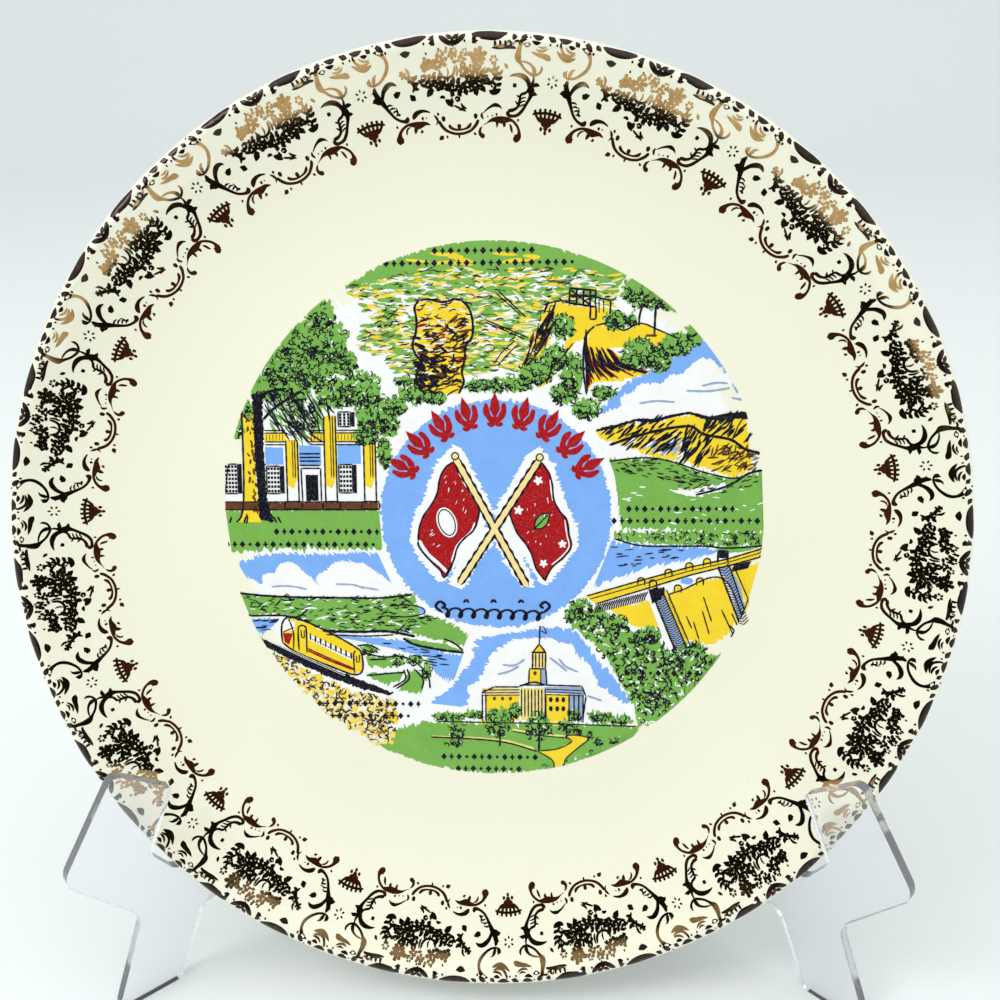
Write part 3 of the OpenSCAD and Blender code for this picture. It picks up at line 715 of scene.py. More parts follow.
    pen("black", [(-54, -28.2), (-56.8, -29.4), (-57.3, -29.6)], 0.34)


def mansion():
    # a pillared house with shuttered windows, and the great tree that stands over it
    wash("green", [(-72.6, 5), (-60, 5.2), (-45, 5.2), (-29.4, 5.2)],
         [(-70.8, -7), (-60, -6), (-45, -6), (-28.6, -6)], 0.5)
    wash("white", [(-72.4, 18), (-66, 18), (-60, 27.4), (-45, 27.4), (-33, 27.4), (-29.8, 24)],
         [(-72.4, 7), (-66, 7), (-60, 7), (-45, 7), (-33, 7), (-29.8, 7)], 0.05)
    wash("blue", [(-60.4, 22.4), (-55.4, 22.4)], [(-60.4, 17.6), (-55.4, 17.6)], 0.06)
    wash("blue", [(-51, 23), (-45, 22.6)], [(-51, 17.4), (-45, 17.4)], 0.06)
    wash("blue", [(-40.4, 23), (-34, 23)], [(-40.4, 17.8), (-34, 17.8)], 0.06)
    for x0, x1 in ((-60.4, -54.6), (-48, -44), (-40.6, -33.4)):
        wash("yellow", [(x0, 26.2), (x1, 26.2)], [(x0, 24), (x1, 24)], 0.05)
        for y in (27, 26.3, 23.9, 23.1):
            pen("black", [(x0, y), (x1, y)], 0.34, True)
        for x in np.arange(x0 + 0.5, x1, 0.9):
            pen("brown", [(x, 26), (x, 24.2)], 0.2, True)
    wash("brown", [(-73, 7.2), (-51, 7.1), (-29.6, 7.2)], [(-73, 5.2), (-51, 5.2), (-29.6, 5.2)], 0.08)
    for y in (7.3, 5.1):
        pen("black", [(-73, y), (-50, y), (-29.4, y)], 0.34, True)
    for x, top in ((-53, 24.4), (-42.4, 31), (-31.6, 24.4)):
        half = 1.6
        wash("yellow", [(x - half, top), (x - half, 16), (x - half, 12)],
             [(x + half, top), (x + half, 15), (x + half * 0.2, 11)], 0.05)
        for d, w in ((-half, 0.42), (half, 0.42), (half * 0.5, 0.3), (half * 0.1, 0.22)):
            pen("black", [(x + d, top), (x + d, 7 if abs(d) == half else 14)], w, True)
        frameLines("black", [(x - 2.3, 7.4), (x + 2.3, 7.4), (x + 2.5, 5.3), (x - 2.5, 5.3),
                             (x - 2.3, 7.4)], 0.4)
        wash("straw", [(x - 2.1, 6.9), (x + 2.1, 6.9)], [(x - 2.2, 5.8), (x + 2.2, 5.8)], 0.05)
    wash("black", [(-49.4, 14.8), (-46, 14.8)], [(-49.4, 7.6), (-46, 7.6)], 0.05)
    wash("mist", [(-48, 12), (-47.2, 12)], [(-48.4, 8), (-46.8, 8)], 0.05)
    frameLines("black", [(-50.4, 7.4), (-50.6, 16.6), (-45.2, 16.6), (-45.2, 7.4)], 0.4)
    for y in (17.4, 18.6, 19.6, 20.6):
        pen("black", [(-51, y), (-45.2, y)], 0.42, True)
    for x0, y0, w, h, cols, rows in ((-72, 9.6, 3.8, 8.2, 4, 7), (-60.2, 9.6, 3.8, 7.6, 4, 6),
                                     (-40.2, 9.8, 3.8, 7.8, 4, 6), (-40, 28, 3.4, 4, 3, 4)):
        frameLines("black", [(x0, y0), (x0 + w, y0), (x0 + w, y0 + h), (x0, y0 + h), (x0, y0)], 0.36)
        gx, gy = np.meshgrid(np.linspace(x0 + 0.6, x0 + w - 0.6, cols),
                             np.linspace(y0 + 0.7, y0 + h - 0.7, rows))
        spots = np.stack([gx.ravel(), gy.ravel()], -1)
        panes = spots[:, None] + np.array([[0, -0.36], [0, 0], [0, 0.36]])
        printed["black"].append(brush(panes, 0.62, layer("black")))
        wash("black", [(x0 + w + 0.2, y0 + h), (x0 + w + 1.1, y0 + h)],
             [(x0 + w + 0.2, y0), (x0 + w + 1.1, y0)], 0.05)
    # the great tree
    canopy = ((-44, 58.4, 3.6, 3.6), (-50, 51, 5.2, 5.2), (-42.4, 51, 5.4, 5.6), (-56, 44.6, 4.8, 4.8),
              (-46.6, 43.6, 6, 5.2), (-60.4, 38.6, 4, 3.6), (-52.6, 38.4, 5.4, 3.8), (-38, 45.4, 3.4, 3.4),
              (-33.4, 38, 5.2, 4.4), (-40.6, 37, 4.8, 3.8), (-30.4, 31, 4.4, 4.8), (-32.4, 26, 3, 3),
              (-27.6, 21, 1.8, 4.4), (-68, 28.4, 1.9, 3.6), (-65.4, 33, 2.2, 2.2), (-26, 28.4, 2.6, 3.2))
    for clump in canopy:
        bush(*clump)
    dabs("black", [(-60, 36), (-45, 37), (-42, 33), (-46, 24), (-58, 27)], 60, 5.5, 0.42, turn=125, sweep=12)
    dabs("green", [(-60, 36), (-45, 37), (-42, 33), (-46, 24), (-58, 27)], 50, 4.5, 0.7, turn=125, sweep=12)
    dabs("black", [(-56, 33), (-47, 36), (-46, 27), (-52, 26)], 60, 1.9, 0.4, sweep=90, curl=90)
    wash("yellow", [(-66.2, 32.6), (-66.3, 20), (-66.6, 8), (-67.4, 3.4), (-68.6, 1.6)],
         [(-63, 33), (-63.2, 20), (-63, 8), (-62.6, 4), (-62.2, 1.6)], 0.08)
    dabs("brown", [(-65.4, 32), (-63.2, 32), (-63, 4), (-65, 4)], 46, 1.3, 0.6, turn=100, sweep=24)
    wash("black", [(-63.4, 37), (-63.3, 20), (-62.8, 8), (-62.6, 2.4)],
         [(-60.6, 37), (-60.7, 20), (-60.3, 8), (-58.6, 1.6)], 0.18)
    dabs("brown", [(-62.8, 34), (-61, 34), (-60.8, 4), (-62.6, 4)], 22, 2.4, 0.36, turn=92, sweep=8)
    pen("black", [(-66.5, 32.4), (-66.5, 20), (-66.8, 9), (-67.6, 3.6), (-69, 1.6)], 0.5)
    pen("black", [(-66.2, 4), (-66, 2.4), (-66.4, 1.2)], 0.5)
    pen("black", [(-60.6, 30), (-57.6, 33), (-53, 36), (-50, 37.6)], 0.8)
    pen("chalk", [(-60, 31.2), (-57, 34), (-54, 36)], 0.3)
    pen("black", [(-61, 36), (-58.6, 37.6), (-54, 38.4)], 0.8)
    for x in (-70.4, -66.4, -60.4, -58.8, -57.6):
        pen("black", [(x, 3.2), (x - 0.6 + (x > -62) * 1.6, 1.4)], 0.5)


def middle():
    # a blue round with two crossed flags, leaves along its top and a flourish along its foot
    roundWash("white", 2.7, 3.6, 34.2, 0.8)
    roundWash("blue", 2.7, 3.6, 31.6, 0.32)
    # white ragged light round the two flags
    wash("halo", [(-8.6, 23), (-12.6, 19), (-15.4, 13), (-17, 8), (-20, 3), (-21, -4), (-18, -9.4),
                  (-13.6, -15)], [(-6.4, 22), (-2.8, 15), (1.4, 7), (2.2, 4.4), (-1.6, -1), (-4.6, -6),
                                  (-8.4, -10), (-11.4, -15)], 0.42)
    wash("halo", [(15, 22.6), (19, 17), (20.4, 11), (22.4, 6), (25, 1), (25.6, -5), (21.4, -10.4), (17, -16)],
         [(11, 20), (7.4, 13), (3.4, 7), (2.4, 4.2), (5.6, -1), (9, -5), (11.6, -10), (15, -15.6)], 0.42)
    wash("halo", [(-3, 1), (-7.6, -9), (-10.6, -15.6)], [(4.6, -1), (-2.6, -10), (-6.4, -17.4)], 0.4)
    wash("halo", [(1, -1), (5.6, -10), (9.6, -16.4)], [(7, 1), (10.4, -8), (13.6, -16.6)], 0.4)
    # left and right flag
    leftHoist = [(-8.6, 18.3), (-6.2, 12.6), (-3.6, 8.6), (-1.6, 5.4), (-2.4, 1.6), (-3.6, -0.8),
                 (-6, -2.9), (-7.9, -5.4), (-9.2, -9.6), (-11.6, -13.6)]
    leftFly = [(-8.8, 18.3), (-11, 16.6), (-12.5, 13.6), (-13.2, 9.8), (-14.8, 6.6), (-17.2, 3.2),
               (-18.4, -0.4), (-18.7, -3.6), (-16.4, -7.4), (-12.4, -12)]
    wash("red", leftFly, leftHoist, 0.04)
    pen("black", leftFly[:8], 0.5)
    pen("black", leftHoist[3:], 0.5)
    pen("chalk", [(-8.0, 17.2), (-5.6, 12.4), (-3.0, 8.4), (-1.9, 6.8)], 0.6)
    pen("chalk", [(-3.0, 1.6), (-4.2, -1.0), (-6.6, -3.2), (-8.3, -5.4), (-9.6, -9.4)], 0.4)
    pen("chalk", [(-18.4, -3.4), (-16.2, -7.0), (-12.2, -10.8), (-10.8, -12.4)], 0.9)
    pen("mist", [(-18.3, -4.4), (-16, -8.2), (-12.6, -11.8), (-11.9, -13.2)], 0.9)
    pen("black", [(-18.7, -3.6), (-18.4, -5.4), (-15.6, -8.9), (-12.8, -11.6), (-11.7, -13.8), (-10.2, -12),
                  (-9.2, -9.6)], 0.5)
    rightHoist = [(15, 18.2), (12, 13.4), (9, 8.6), (6.4, 4.6), (7.4, 1.6), (8.8, -1.6), (11, -4.4),
                  (12.6, -7.4), (13.8, -11.2), (16.2, -14.6)]
    rightFly = [(15.2, 18.2), (17.2, 15.4), (18.2, 12), (18.6, 8), (20.2, 4.8), (22.2, 2.2), (22.8, -1.8),
                (23.4, -5), (21.4, -8), (18.4, -10.6)]
    wash("red", rightFly, rightHoist, 0.04)
    pen("black", rightFly + [(17.2, -12.4), (16.2, -14.7)], 0.5)
    pen("black", rightHoist[3:], 0.5)
    pen("chalk", [(17.6, 13.4), (18, 10), (18.4, 7.6)], 0.4)
    pen("chalk", [(21.6, 2.4), (22.2, -1.8), (22.8, -5), (21, -7.6), (18, -10.2)], 0.35)
    # plain oval and plain leaf on the cloths, and small stars
    blot("chalk", -10.7, 1.6, 2.7, 4.3, 0.03, 18)
    printed["black"].append(brush(closedOval(-10.7, 1.6, 2.15, 3.7, 18), 0.34, layer("black")))
    wash("moss", [(13.4, 0), (13.7, 2), (15, 3.6), (17.2, 4)],
         [(13.4, -0.1), (15.4, 0.1), (16.9, 1.6), (17.3, 3.9)], 0.03)
    pen("black", [(12.6, -0.8), (15, 1.6), (17, 3.8)], 0.4)
    pen("black", [(13.4, -0.1), (13.6, 2), (15, 3.7), (17.3, 4.1), (16.9, 1.6), (15.4, 0), (13.4, -0.1)], 0.4)
    for x, y, size in ((14.4, 13.2, 1.3), (9, 5, 1.3), (21, -4.4, 1.15), (15.8, -9.8, 1.15)):
        for k in range(5):
            a = math.radians(90 + 72 * k + x * 7)
            pen("chalk", [(x, y), (x + size * math.cos(a), y + size * math.sin(a))], 0.75)
    dabs("chalk", [(-13, 15), (-9, 15), (-4, 7), (-5, 3), (-9, 8)], 12, 1.0, 0.22, turn=70, sweep=12)
    dabs("chalk", [(-16, 1), (-14, 1), (-11, -7), (-15, -5)], 6, 1.0, 0.22, turn=40, sweep=20)
    dabs("chalk", [(12, 8), (17, 12), (19, 2), (14, -8), (9, 0)], 14, 0.9, 0.24, turn=75, sweep=20)
    # poles
    for foot, head in (((11.3, -16.4), (-8.2, 19.4)), ((-7.5, -15.6), (14.8, 19.0))):
        pen("black", [foot, head], 2.5, True)
        pen("gold", [foot, head], 1.35, True)
        blot("gold", head[0], head[1] + 0.5, 1.0, 1.0, 0.02)
        printed["black"].append(brush(closedOval(head[0], head[1] + 0.5, 0.95, 0.95, 0), 0.36,
                                      layer("black") + 0.02))
    # nine red leaves along the top of the round, and a dark flourish under the flags
    for k in range(9):
        a = math.radians(-62 + 124 * k / 8)
        out = np.array([math.sin(a), math.cos(a)])
        place = np.stack([np.array([out[1], -out[0]]), out])
        base = np.array([2.7, 3.6]) + out * 24.2
        petal = np.array([(0, 2.2), (-1.45, 4.8), (-1.1, 6.8), (0, 9.4)])
        wash("red", base + petal @ place, base + (petal * [-1, 1]) @ place, 0.02, 0.6)
        pen("red", base + np.array([(0, 0.8), (0, 3)]) @ place, 1.5, True)
        for hand in (-1, 1):
            arm = np.array([(0, 1.4), (1.3, 2.3), (2.3, 4), (2.4, 6.4)]) * [hand, 1]
            pen("red", base + arm @ place, 1.6)
            pen("red", base + (np.array([(0, 1.0), (1.1, 0.6), (2.1, 1.0)]) * [hand, 1]) @ place, 1.3)
    t = np.linspace(0, 1, 110)
    loops = np.stack([-12.6 + 28.6 * t + 1.1 * np.sin(t * 50),
                      -23.6 - 0.9 * t + 1.25 * np.sin(t * 50 + 1.3)], -1)
    printed["black"].append(brush(loops[None], 0.5 + 0.4 * np.abs(np.sin(t * 25)), layer("black")))
    for x, hand in ((-12.2, -1), (15.6, 1)):
        pen("black", [(x, -23.8), (x + 1.9 * hand, -22), (x + 0.7 * hand, -20.6), (x - 0.7 * hand, -21.7),
                      (x + 0.3 * hand, -22.4)], 0.75)
    for x in (-6.4, 1.2, 8.8):
        pen("black", [(x, -20.9), (x + 0.8, -20.2), (x + 1.6, -20.9)], 0.7)


hillside()
rockPillar()
lookout()
mountains()
dam()
shrubs()
publicBuilding()
inclineCar()
mansion()
middle()
for row in ((-13, 13.4, 74.6), (-26, 23.6, 71.4), (-58, -30, -1), (-72, -29, -4.6), (39, 67.6, 5.4),
            (35, 74.6, 2.1), (39, 58.6, -40.7), (-47.4, -17.4, -50.2), (-46, -20.4, -53.7),
            (-12.4, 14.6, -65.5), (-8.4, 9.6, -69)):
    caption(*row)

print("drawing the border")
# Fifteen scroll frames round the rim, each with a bouquet, and a basket between each two. A stroke's points
# are (degrees from the middle of its frame, radius, width). Start turns the first frame from the top, and
# middle is the radius at which a stroke's length is measured.
gilding = {"repeats": 15, "start": 20.92, "middle": 115, "lift": 0.02, "weight": 1.35, "across": 6}
gilt = {"scrolls": [], "bouquets": [], "baskets": [], "edge": []}


def roundRim(strokes):
    # strokes of (degrees, radius, width) in one frame become x, y lines in all fifteen, turned by equal steps
    turns = gilding["start"] + 360 / gilding["repeats"] * np.arange(gilding["repeats"])
    angle = np.radians(turns[:, None] + strokes[None, :, 0])
    return np.stack([strokes[:, 1] * np.sin(angle), strokes[:, 1] * np.cos(angle)], -1)


def gild(part, points):
    # one stroke of gold, (degrees, radius, width) from point to point, in every frame
    p = np.asarray(points, float)
    run = np.hypot(np.radians(np.diff(p[:, 0])) * gilding["middle"], np.diff(p[:, 1])).sum()
    samples = int(np.clip(run / 0.45, 5, 44))
    stroke = curveThrough(p, samples)
    widths = np.maximum(stroke[:, 2], 0.12) * gilding["weight"]
    t = np.linspace(0, 1, samples)
    widths = widths * np.minimum(1, 0.45 + np.minimum(t, 1 - t) * run / np.maximum(widths, 0.3))
    lift = gilding["lift"] + (len(gilt[part]) % 9) * 0.0008
    if part != "edge":
        gilt[part].append(brush(roundRim(stroke), widths[None], lift))
        return
    # over the round edge a stroke is laid as a sheet, several samples wide, so that it follows the curve
    for line in roundRim(stroke):
        along = np.gradient(line, axis=0)
        along /= np.linalg.norm(along, axis=-1, keepdims=True)
        aside = np.stack([-along[:, 1], along[:, 0]], -1) * widths[:, None] / 2
        gilt[part].append(slab(line + np.linspace(-1, 1, gilding["across"])[:, None, None] * aside, lift))


def petals(part, angle, radius, size, count, width, gap, turn):
    # a flower: short strokes that point out from its middle, from gap * size to size
    perDegree = math.radians(radius)
    for k in range(count):
        a = math.radians(turn + 360 * k / count)
        c, s = math.cos(a), math.sin(a)
        gild(part, [(angle + size * gap * c / perDegree, radius + size * gap * s, width * 0.5),
                    (angle + size * 0.7 * c / perDegree, radius + size * 0.7 * s, width),
                    (angle + size * c / perDegree, radius + size * s, width * 0.5)])


def ring(part, angle, radius, size, width):
    # a loop of gold round a point
    a = np.radians(np.linspace(0, 360, 9))
    perDegree = math.radians(radius)
    gild(part, np.stack([angle + size * np.cos(a) / perDegree, radius + size * np.sin(a),
                         np.full(9, width)], -1))


def giltDot(part, angle, radius, size):
    # a short fat touch
    half = size * 0.32 / math.radians(radius)
    gild(part, [(angle - half, radius, size * 0.8), (angle, radius + 0.03, size),
                (angle + half, radius, size * 0.8)])


scrolls = {
    "leftStem": [(-10.05, 117.2, .5), (-10.15, 116, .9), (-9.95, 114.8, 1), (-9.6, 113.6, 1),
                 (-9.25, 112.2, .7), (-8.9, 110.9, .55),
                 (-8.5, 109.7, .5), (-8, 108.9, .5), (-7.4, 108.4, .6), (-6.95, 108.5, .9),
                 (-6.8, 109.3, .5)],
    "leftThorn": [(-10.8, 114, .15), (-10.35, 114.3, 1.1), (-9.9, 113.9, 1.2), (-9.6, 113.2, .6)],
    "leftUpperThorn": [(-10.6, 116.1, .1), (-10.2, 115.9, .6), (-10, 115.2, .6)],
    "leftFeather": [(-8.05, 112, .15), (-7.95, 111, .35), (-8, 110.3, .4), (-7.75, 109.8, .3)],
    "leftHook": [(-9.55, 113.2, .4), (-9.45, 114.4, .6), (-9.1, 115.8, .75), (-8.6, 116.7, .9),
                 (-8.15, 117.1, .8), (-7.7, 117, .6),
                 (-7.3, 116.5, .15)],
    "leftHookTip": [(-8.6, 116.6, .5), (-8.2, 117.4, .15)],
    "leftComma": [(-7.95, 114.9, .2), (-7.75, 114.5, 1.1), (-7.4, 114.7, 1), (-7, 115.1, .1)],
    "leftCommaTail": [(-7.8, 114.3, .6), (-7.65, 113.8, .1)],
    "leftCrest": [(-9.1, 124.3, .2), (-8.6, 124.1, .8), (-8.2, 123.5, .8), (-7.95, 122.6, .6),
                  (-7.85, 121.6, .6), (-7.95, 120.6, .65),
                  (-8.25, 119.6, .6), (-8.7, 118.7, .5), (-9.2, 118, .45), (-9.8, 117.6, .4),
                  (-10.2, 117.6, .35), (-10.6, 118, .4),
                  (-10.7, 118.6, .3), (-10.55, 119, .1)],
    "leftCrestLeaf": [(-10.05, 117.6, .5), (-9.9, 118.6, .7), (-9.7, 119.4, .4), (-9.35, 119.7, .1)],
    "leftCrestBud": [(-10.3, 117.8, .3), (-10.45, 118.6, .5), (-10.35, 119.3, .1)],
    "shell": [(-11.4, 125.2, .2), (-11.5, 124, .45), (-11.1, 122.6, .5), (-10.5, 122.2, .5),
              (-9.7, 122.6, .2)],
    "shellInner": [(-10.9, 123.9, .2), (-10.6, 123.2, .4), (-10, 122.9, .4), (-9.7, 123.1, .1)],
    "shellOuter": [(-11.9, 122.9, .2), (-11.3, 121.9, .7), (-10.6, 121.4, .9), (-9.9, 121.7, .5),
                   (-9.6, 122, .1)],
    "leftVolute": [(-8.35, 103.4, 1.9), (-8.5, 104.4, 1.5), (-8.4, 105.4, .8), (-8.1, 106.3, .55),
                   (-7.5, 107.1, .5), (-6.8, 107.5, .45),
                   (-6, 107.6, .4), (-5.2, 107.4, .5), (-4.5, 107.1, .6), (-3.9, 106.6, .1)],
    "leftVoluteLeaf": [(-6.9, 107.2, .2), (-6.2, 107.1, .7), (-5.6, 106.9, 1.3), (-5, 107, .9),
                       (-4.3, 107.1, .3)],
    "leftFringe1": [(-6.7, 106.9, .3), (-7.2, 106.5, .4), (-7.4, 105.6, .35), (-7.35, 105.2, .15)],
    "leftFringe2": [(-5.8, 107, .6), (-6.05, 106, .7), (-6.2, 105.1, .3)],
    "leftFringe3": [(-5.3, 105.8, .2), (-5.2, 105.4, .55), (-5.5, 105.1, .2)],
    "leftBrow": [(-6.1, 108.4, .3), (-5.95, 109, .8), (-5.6, 109.6, .9), (-5.1, 109.95, .7),
                 (-4.5, 110, .5), (-3.9, 109.6, .3),
                 (-3.7, 109.4, .1)],
    "leftKnotLeaf": [(-3.3, 108.8, .15), (-3, 108.1, .5), (-2.85, 107.2, .4), (-3.2, 106.3, .1)],
    "footLeaf": [(-3, 102.9, .3), (-2.6, 103.3, .9), (-2.3, 103.6, .6)],
    "bowl": [(-2.75, 107.3, .6), (-2.55, 106.6, .6), (-2.3, 105.8, .6), (-1.9, 105, .55),
             (-1.3, 104.35, .5), (-.6, 103.95, .5),
             (0, 103.85, .5), (.7, 103.95, .5), (1.5, 104.4, .5), (2, 105.1, .55), (2.45, 106, .6),
             (2.7, 107, .6)],
    "innerBowl": [(-1.35, 106.2, .5), (-1.25, 105.6, .6), (-.9, 105.15, .5), (-.4, 104.85, .4),
                  (.2, 104.8, .35), (.9, 105, .4),
                  (1.4, 105.5, .6), (1.7, 106.3, .4)],
    "spike": [(-.1, 103.6, .6), (-.1, 102.8, .2)],
    "rightKnotLeaf": [(3.3, 108.7, .15), (3.15, 107.9, .5), (3.4, 107, .3)],
    "rightFoot": [(3.2, 105.4, .3), (2.85, 104.5, .5), (2.9, 103.6, .7), (3.3, 103.1, .9), (3.55, 103, .5)],
    "rightFootLeaf": [(2, 104, .4), (2.3, 103.4, .6)],
    "rightVolute": [(3.3, 105.6, .1), (3.9, 106.2, .2), (4.5, 106.8, .6), (5.2, 107, 1), (6, 106.9, 1.3),
                    (6.7, 107, .9), (7.3, 106.9, .5),
                    (7.8, 106.2, .5), (8.2, 105.3, .5), (8.4, 104.2, .6), (8.3, 103.2, 1.2),
                    (7.9, 102.7, 1.5), (7.6, 102.7, .6)],
    "rightTop": [(4.6, 107.1, .3), (5.5, 107.4, .4), (6.5, 107.4, .4), (7.2, 107.1, .4)],
    "rightFringe1": [(5.2, 106.6, .6), (5.3, 105.9, .5), (5.2, 105.1, .2)],
    "rightFringe2": [(6.1, 106.5, .7), (6.3, 105.8, .6), (6.2, 105.2, .2)],
    "rightFringe3": [(7, 106.1, .3), (7.25, 105.3, .5), (7.35, 104.4, .4), (7.5, 104, .1)],
    "rightBrow": [(3.4, 108.4, .2), (3.9, 109.3, .3), (4.6, 110.1, .5), (5.1, 110.3, .7), (5.6, 110, .4),
                  (5.9, 109.4, .1)],
    "acanthus": [(9.7, 117.2, .3), (9.75, 116.3, .4), (9.6, 115.2, .7), (9.5, 114, 1.5), (9.6, 113.2, 1),
                 (9.4, 112, .6), (9, 110.6, .55),
                 (8.6, 109.3, .6), (8, 108.2, .6), (7.3, 107.9, .55), (6.8, 108.1, .7), (6.65, 109, .9)],
    "acanthusInner": [(6.7, 109.1, .8), (7.4, 109.3, .6), (7.95, 110, .5), (8.15, 110.9, .6),
                      (8.2, 111.8, .5), (8.3, 112.9, .4),
                      (8.9, 113.4, .4), (9.3, 114.1, .6)],
    "acanthusSpike1": [(8, 110.6, .5), (7.6, 111.4, .2)],
    "acanthusSpike2": [(8.1, 112.3, .5), (7.75, 112.7, .2)],
    "rightThorn": [(9.6, 113.6, .5), (9.9, 113.3, .8), (10.4, 113.1, .2)],
    "rightUpperThorn": [(9.7, 115, .8), (10.2, 115.3, .7), (10.6, 115.1, .15)],
    "rightHook": [(9.3, 114.4, .9), (9.2, 115.4, .8), (8.9, 116.3, .9), (8.4, 116.9, .9), (7.8, 117.1, .7),
                  (7.2, 117, .4), (6.8, 116.7, .15)],
    "rightComma": [(7.25, 115.2, .3), (7.45, 114.8, 1.1), (7.6, 114.4, .5)],
    "rightCrest": [(8.1, 124.6, .6), (7.95, 124, .7), (7.85, 123, .7), (7.7, 121.8, 1), (7.7, 120.6, 1.2),
                   (8, 119.7, .6),
                   (8.5, 118.5, .45), (9.1, 117.7, .45), (9.7, 117.3, .5), (10.3, 117.7, .4),
                   (10.6, 118.6, .5), (10.55, 119.5, .2)],
    "rightCrestLoop": [(8.1, 120.1, .3), (8.9, 119.8, .35), (9.5, 119.1, .5), (9.75, 118.2, .8),
                       (9.8, 117.4, .5)],
    "rightCrestLeaf": [(8.2, 123.6, .3), (8.7, 123.5, .8), (9.1, 123.7, .15)],
    "rightRipple": [(5, 123.1, .2), (5.6, 122.9, .5), (6.2, 123.3, .5), (6.6, 124.1, .4), (7, 123.4, .4),
                    (7.4, 124.2, .4), (7.9, 123.9, .5)],
    "rightShell": [(9.2, 122.1, .2), (9.9, 121.7, .6), (10.6, 121.5, .8), (11.2, 121.2, 1),
                   (11.5, 120.7, .3)],
    "rightShellInner": [(9.7, 122.8, .2), (10.1, 122.4, .4), (10.7, 122.6, .4), (11.1, 123.2, .2)],
    "rightShellCore": [(10, 123.3, .2), (10.5, 123.1, .35), (10.9, 123.5, .15)],
}
scrollHatch = [[(-9.2 + .3 * k, 112.4 - .8 * k, .3), (-8.8 + .3 * k, 112.7 - .8 * k, .35),
                (-8.35 + .25 * k, 112.4 - .8 * k, .2)] for k in range(4)]
scrollHatch += [[(8.25 - .02 * k, 110.1 + .8 * k, .25), (8.6, 110.6 + .8 * k, .3),
                 (9, 110.7 + .8 * k, .2)] for k in range(4)]
scrollDots = [(-4.85, 108.3, .95), (-4.35, 108.3, .5), (-8.5, 107.4, .8), (-1.8, 103.35, .8),
              (4, 107.6, .5), (4.6, 107.8, .5), (5.2, 108.1, .8), (8.15, 107, .8), (-2.05, 107.6, 1.5),
              (2.35, 107.75, 1.5), (0, 105.5, 1.5), (-2.7, 108.8, .9), (.6, 109.5, .7), (.85, 109.3, .5)]
edgeBand = [
    [(-6.8, 125.8, .5), (-6, 125.3, 1.3), (-5, 125.2, 1.6), (-4, 125.4, 1.5), (-3.2, 125.8, .9),
     (-2.8, 126, .3)],
    [(2.5, 125.9, .5), (3.2, 125.6, 1.2), (4.2, 125.3, 1.7), (5.2, 125.3, 1.6), (5.9, 125.7, .9),
     (6.4, 126, .3)],
    [(-5.8, 124.4, .2), (-5.2, 124.6, .6), (-4.6, 124.8, .8)],
    [(3.3, 124.5, .2), (3.9, 124.7, .7), (4.6, 124.8, .7)],
    [(-2, 126, .5), (-2.3, 125.2, 1.1), (-2.25, 124.2, 1.1), (-1.95, 123.7, .4)],
    [(2.35, 125.9, .5), (2.7, 125.1, 1), (2.65, 124.1, 1.2), (2.35, 123.6, .4)],
    [(-1.4, 125.8, .4), (-1, 125, 1), (-.5, 124.1, .9), (.1, 123.5, .8)],
    [(1.6, 125.8, .4), (1.2, 125, 1), (.7, 124.2, .9), (.1, 123.5, .8)],
    [(.1, 124.9, .5), (.1, 124.1, 1), (.1, 123, .4)], [(-.6, 125.9, .3), (-.25, 125.3, .9), (.1, 124.9, .6)],
    [(.85, 125.9, .3), (.5, 125.3, .9), (.1, 124.9, .6)], [(-6.1, 122.9, .3), (-5.5, 122.6, 1.1),
                                                           (-4.9, 122.9, .3)],
    [(4.6, 122.6, .3), (5.4, 122.6, .5), (6.2, 122.8, .6), (7, 122.8, .5), (7.4, 122.6, .3)],
    [(-8.5, 126, .4), (-8.5, 125.3, 1.2), (-8.2, 124.6, .9), (-7.9, 124, .4)],
    [(8.5, 126, .5), (8.4, 125.3, 1.3), (8.15, 124.6, .9), (8, 124, .4)],
    [(-11.8, 125.7, .3), (-11.1, 125.2, 1.1), (-10.3, 125.6, .4)],
    [(-9.9, 125.6, .4), (-9.6, 124.9, 1), (-9.4, 124.4, .3)],
    [(-7.5, 125.9, .5), (-7.3, 125.2, 1), (-6.9, 124.7, .4)],
    [(7, 125.8, .5), (7.2, 125.1, 1.1), (7, 124.4, .4)],
    [(9.2, 125.8, .3), (9.9, 125.3, 1.1), (10.5, 125.6, .4)],
    [(11, 125.8, .5), (11.5, 125.2, 1.2), (11.9, 124.8, .4)],
    [(9.2, 124.4, .3), (9.7, 124, .7), (10.2, 124.2, .3)], [(-10.6, 124.3, .3), (-10.2, 124, .7),
                                                            (-9.8, 124.1, .2)],
]
edgeBand += [[(a, 124.2, .3), (a + .1, 123.5, .5), (a, 122.9, .4)] for a in (4.9, 5.5, 6.1, 6.7)]
edgeDots = [(-3.2, 124.2, .8), (-3.1, 122.1, .7), (-1.6, 122.7, .7), (1.5, 124.1, .8), (-7.7, 123.6, .8),
            (11.3, 123.9, .7), (-11.9, 124, .7), (9, 125.2, .6), (-9, 126, .7)]
for stroke in list(scrolls.values()) + scrollHatch:
    gild("scrolls", stroke)
for dot in scrollDots:
    giltDot("scrolls", *dot)
petals("scrolls", -11.9, 116.3, 1.5, 6, 0.4, 0.45, 30)
for stroke in edgeBand:
    gild("edge", stroke)
for dot in edgeDots:
    giltDot("edge", *dot)


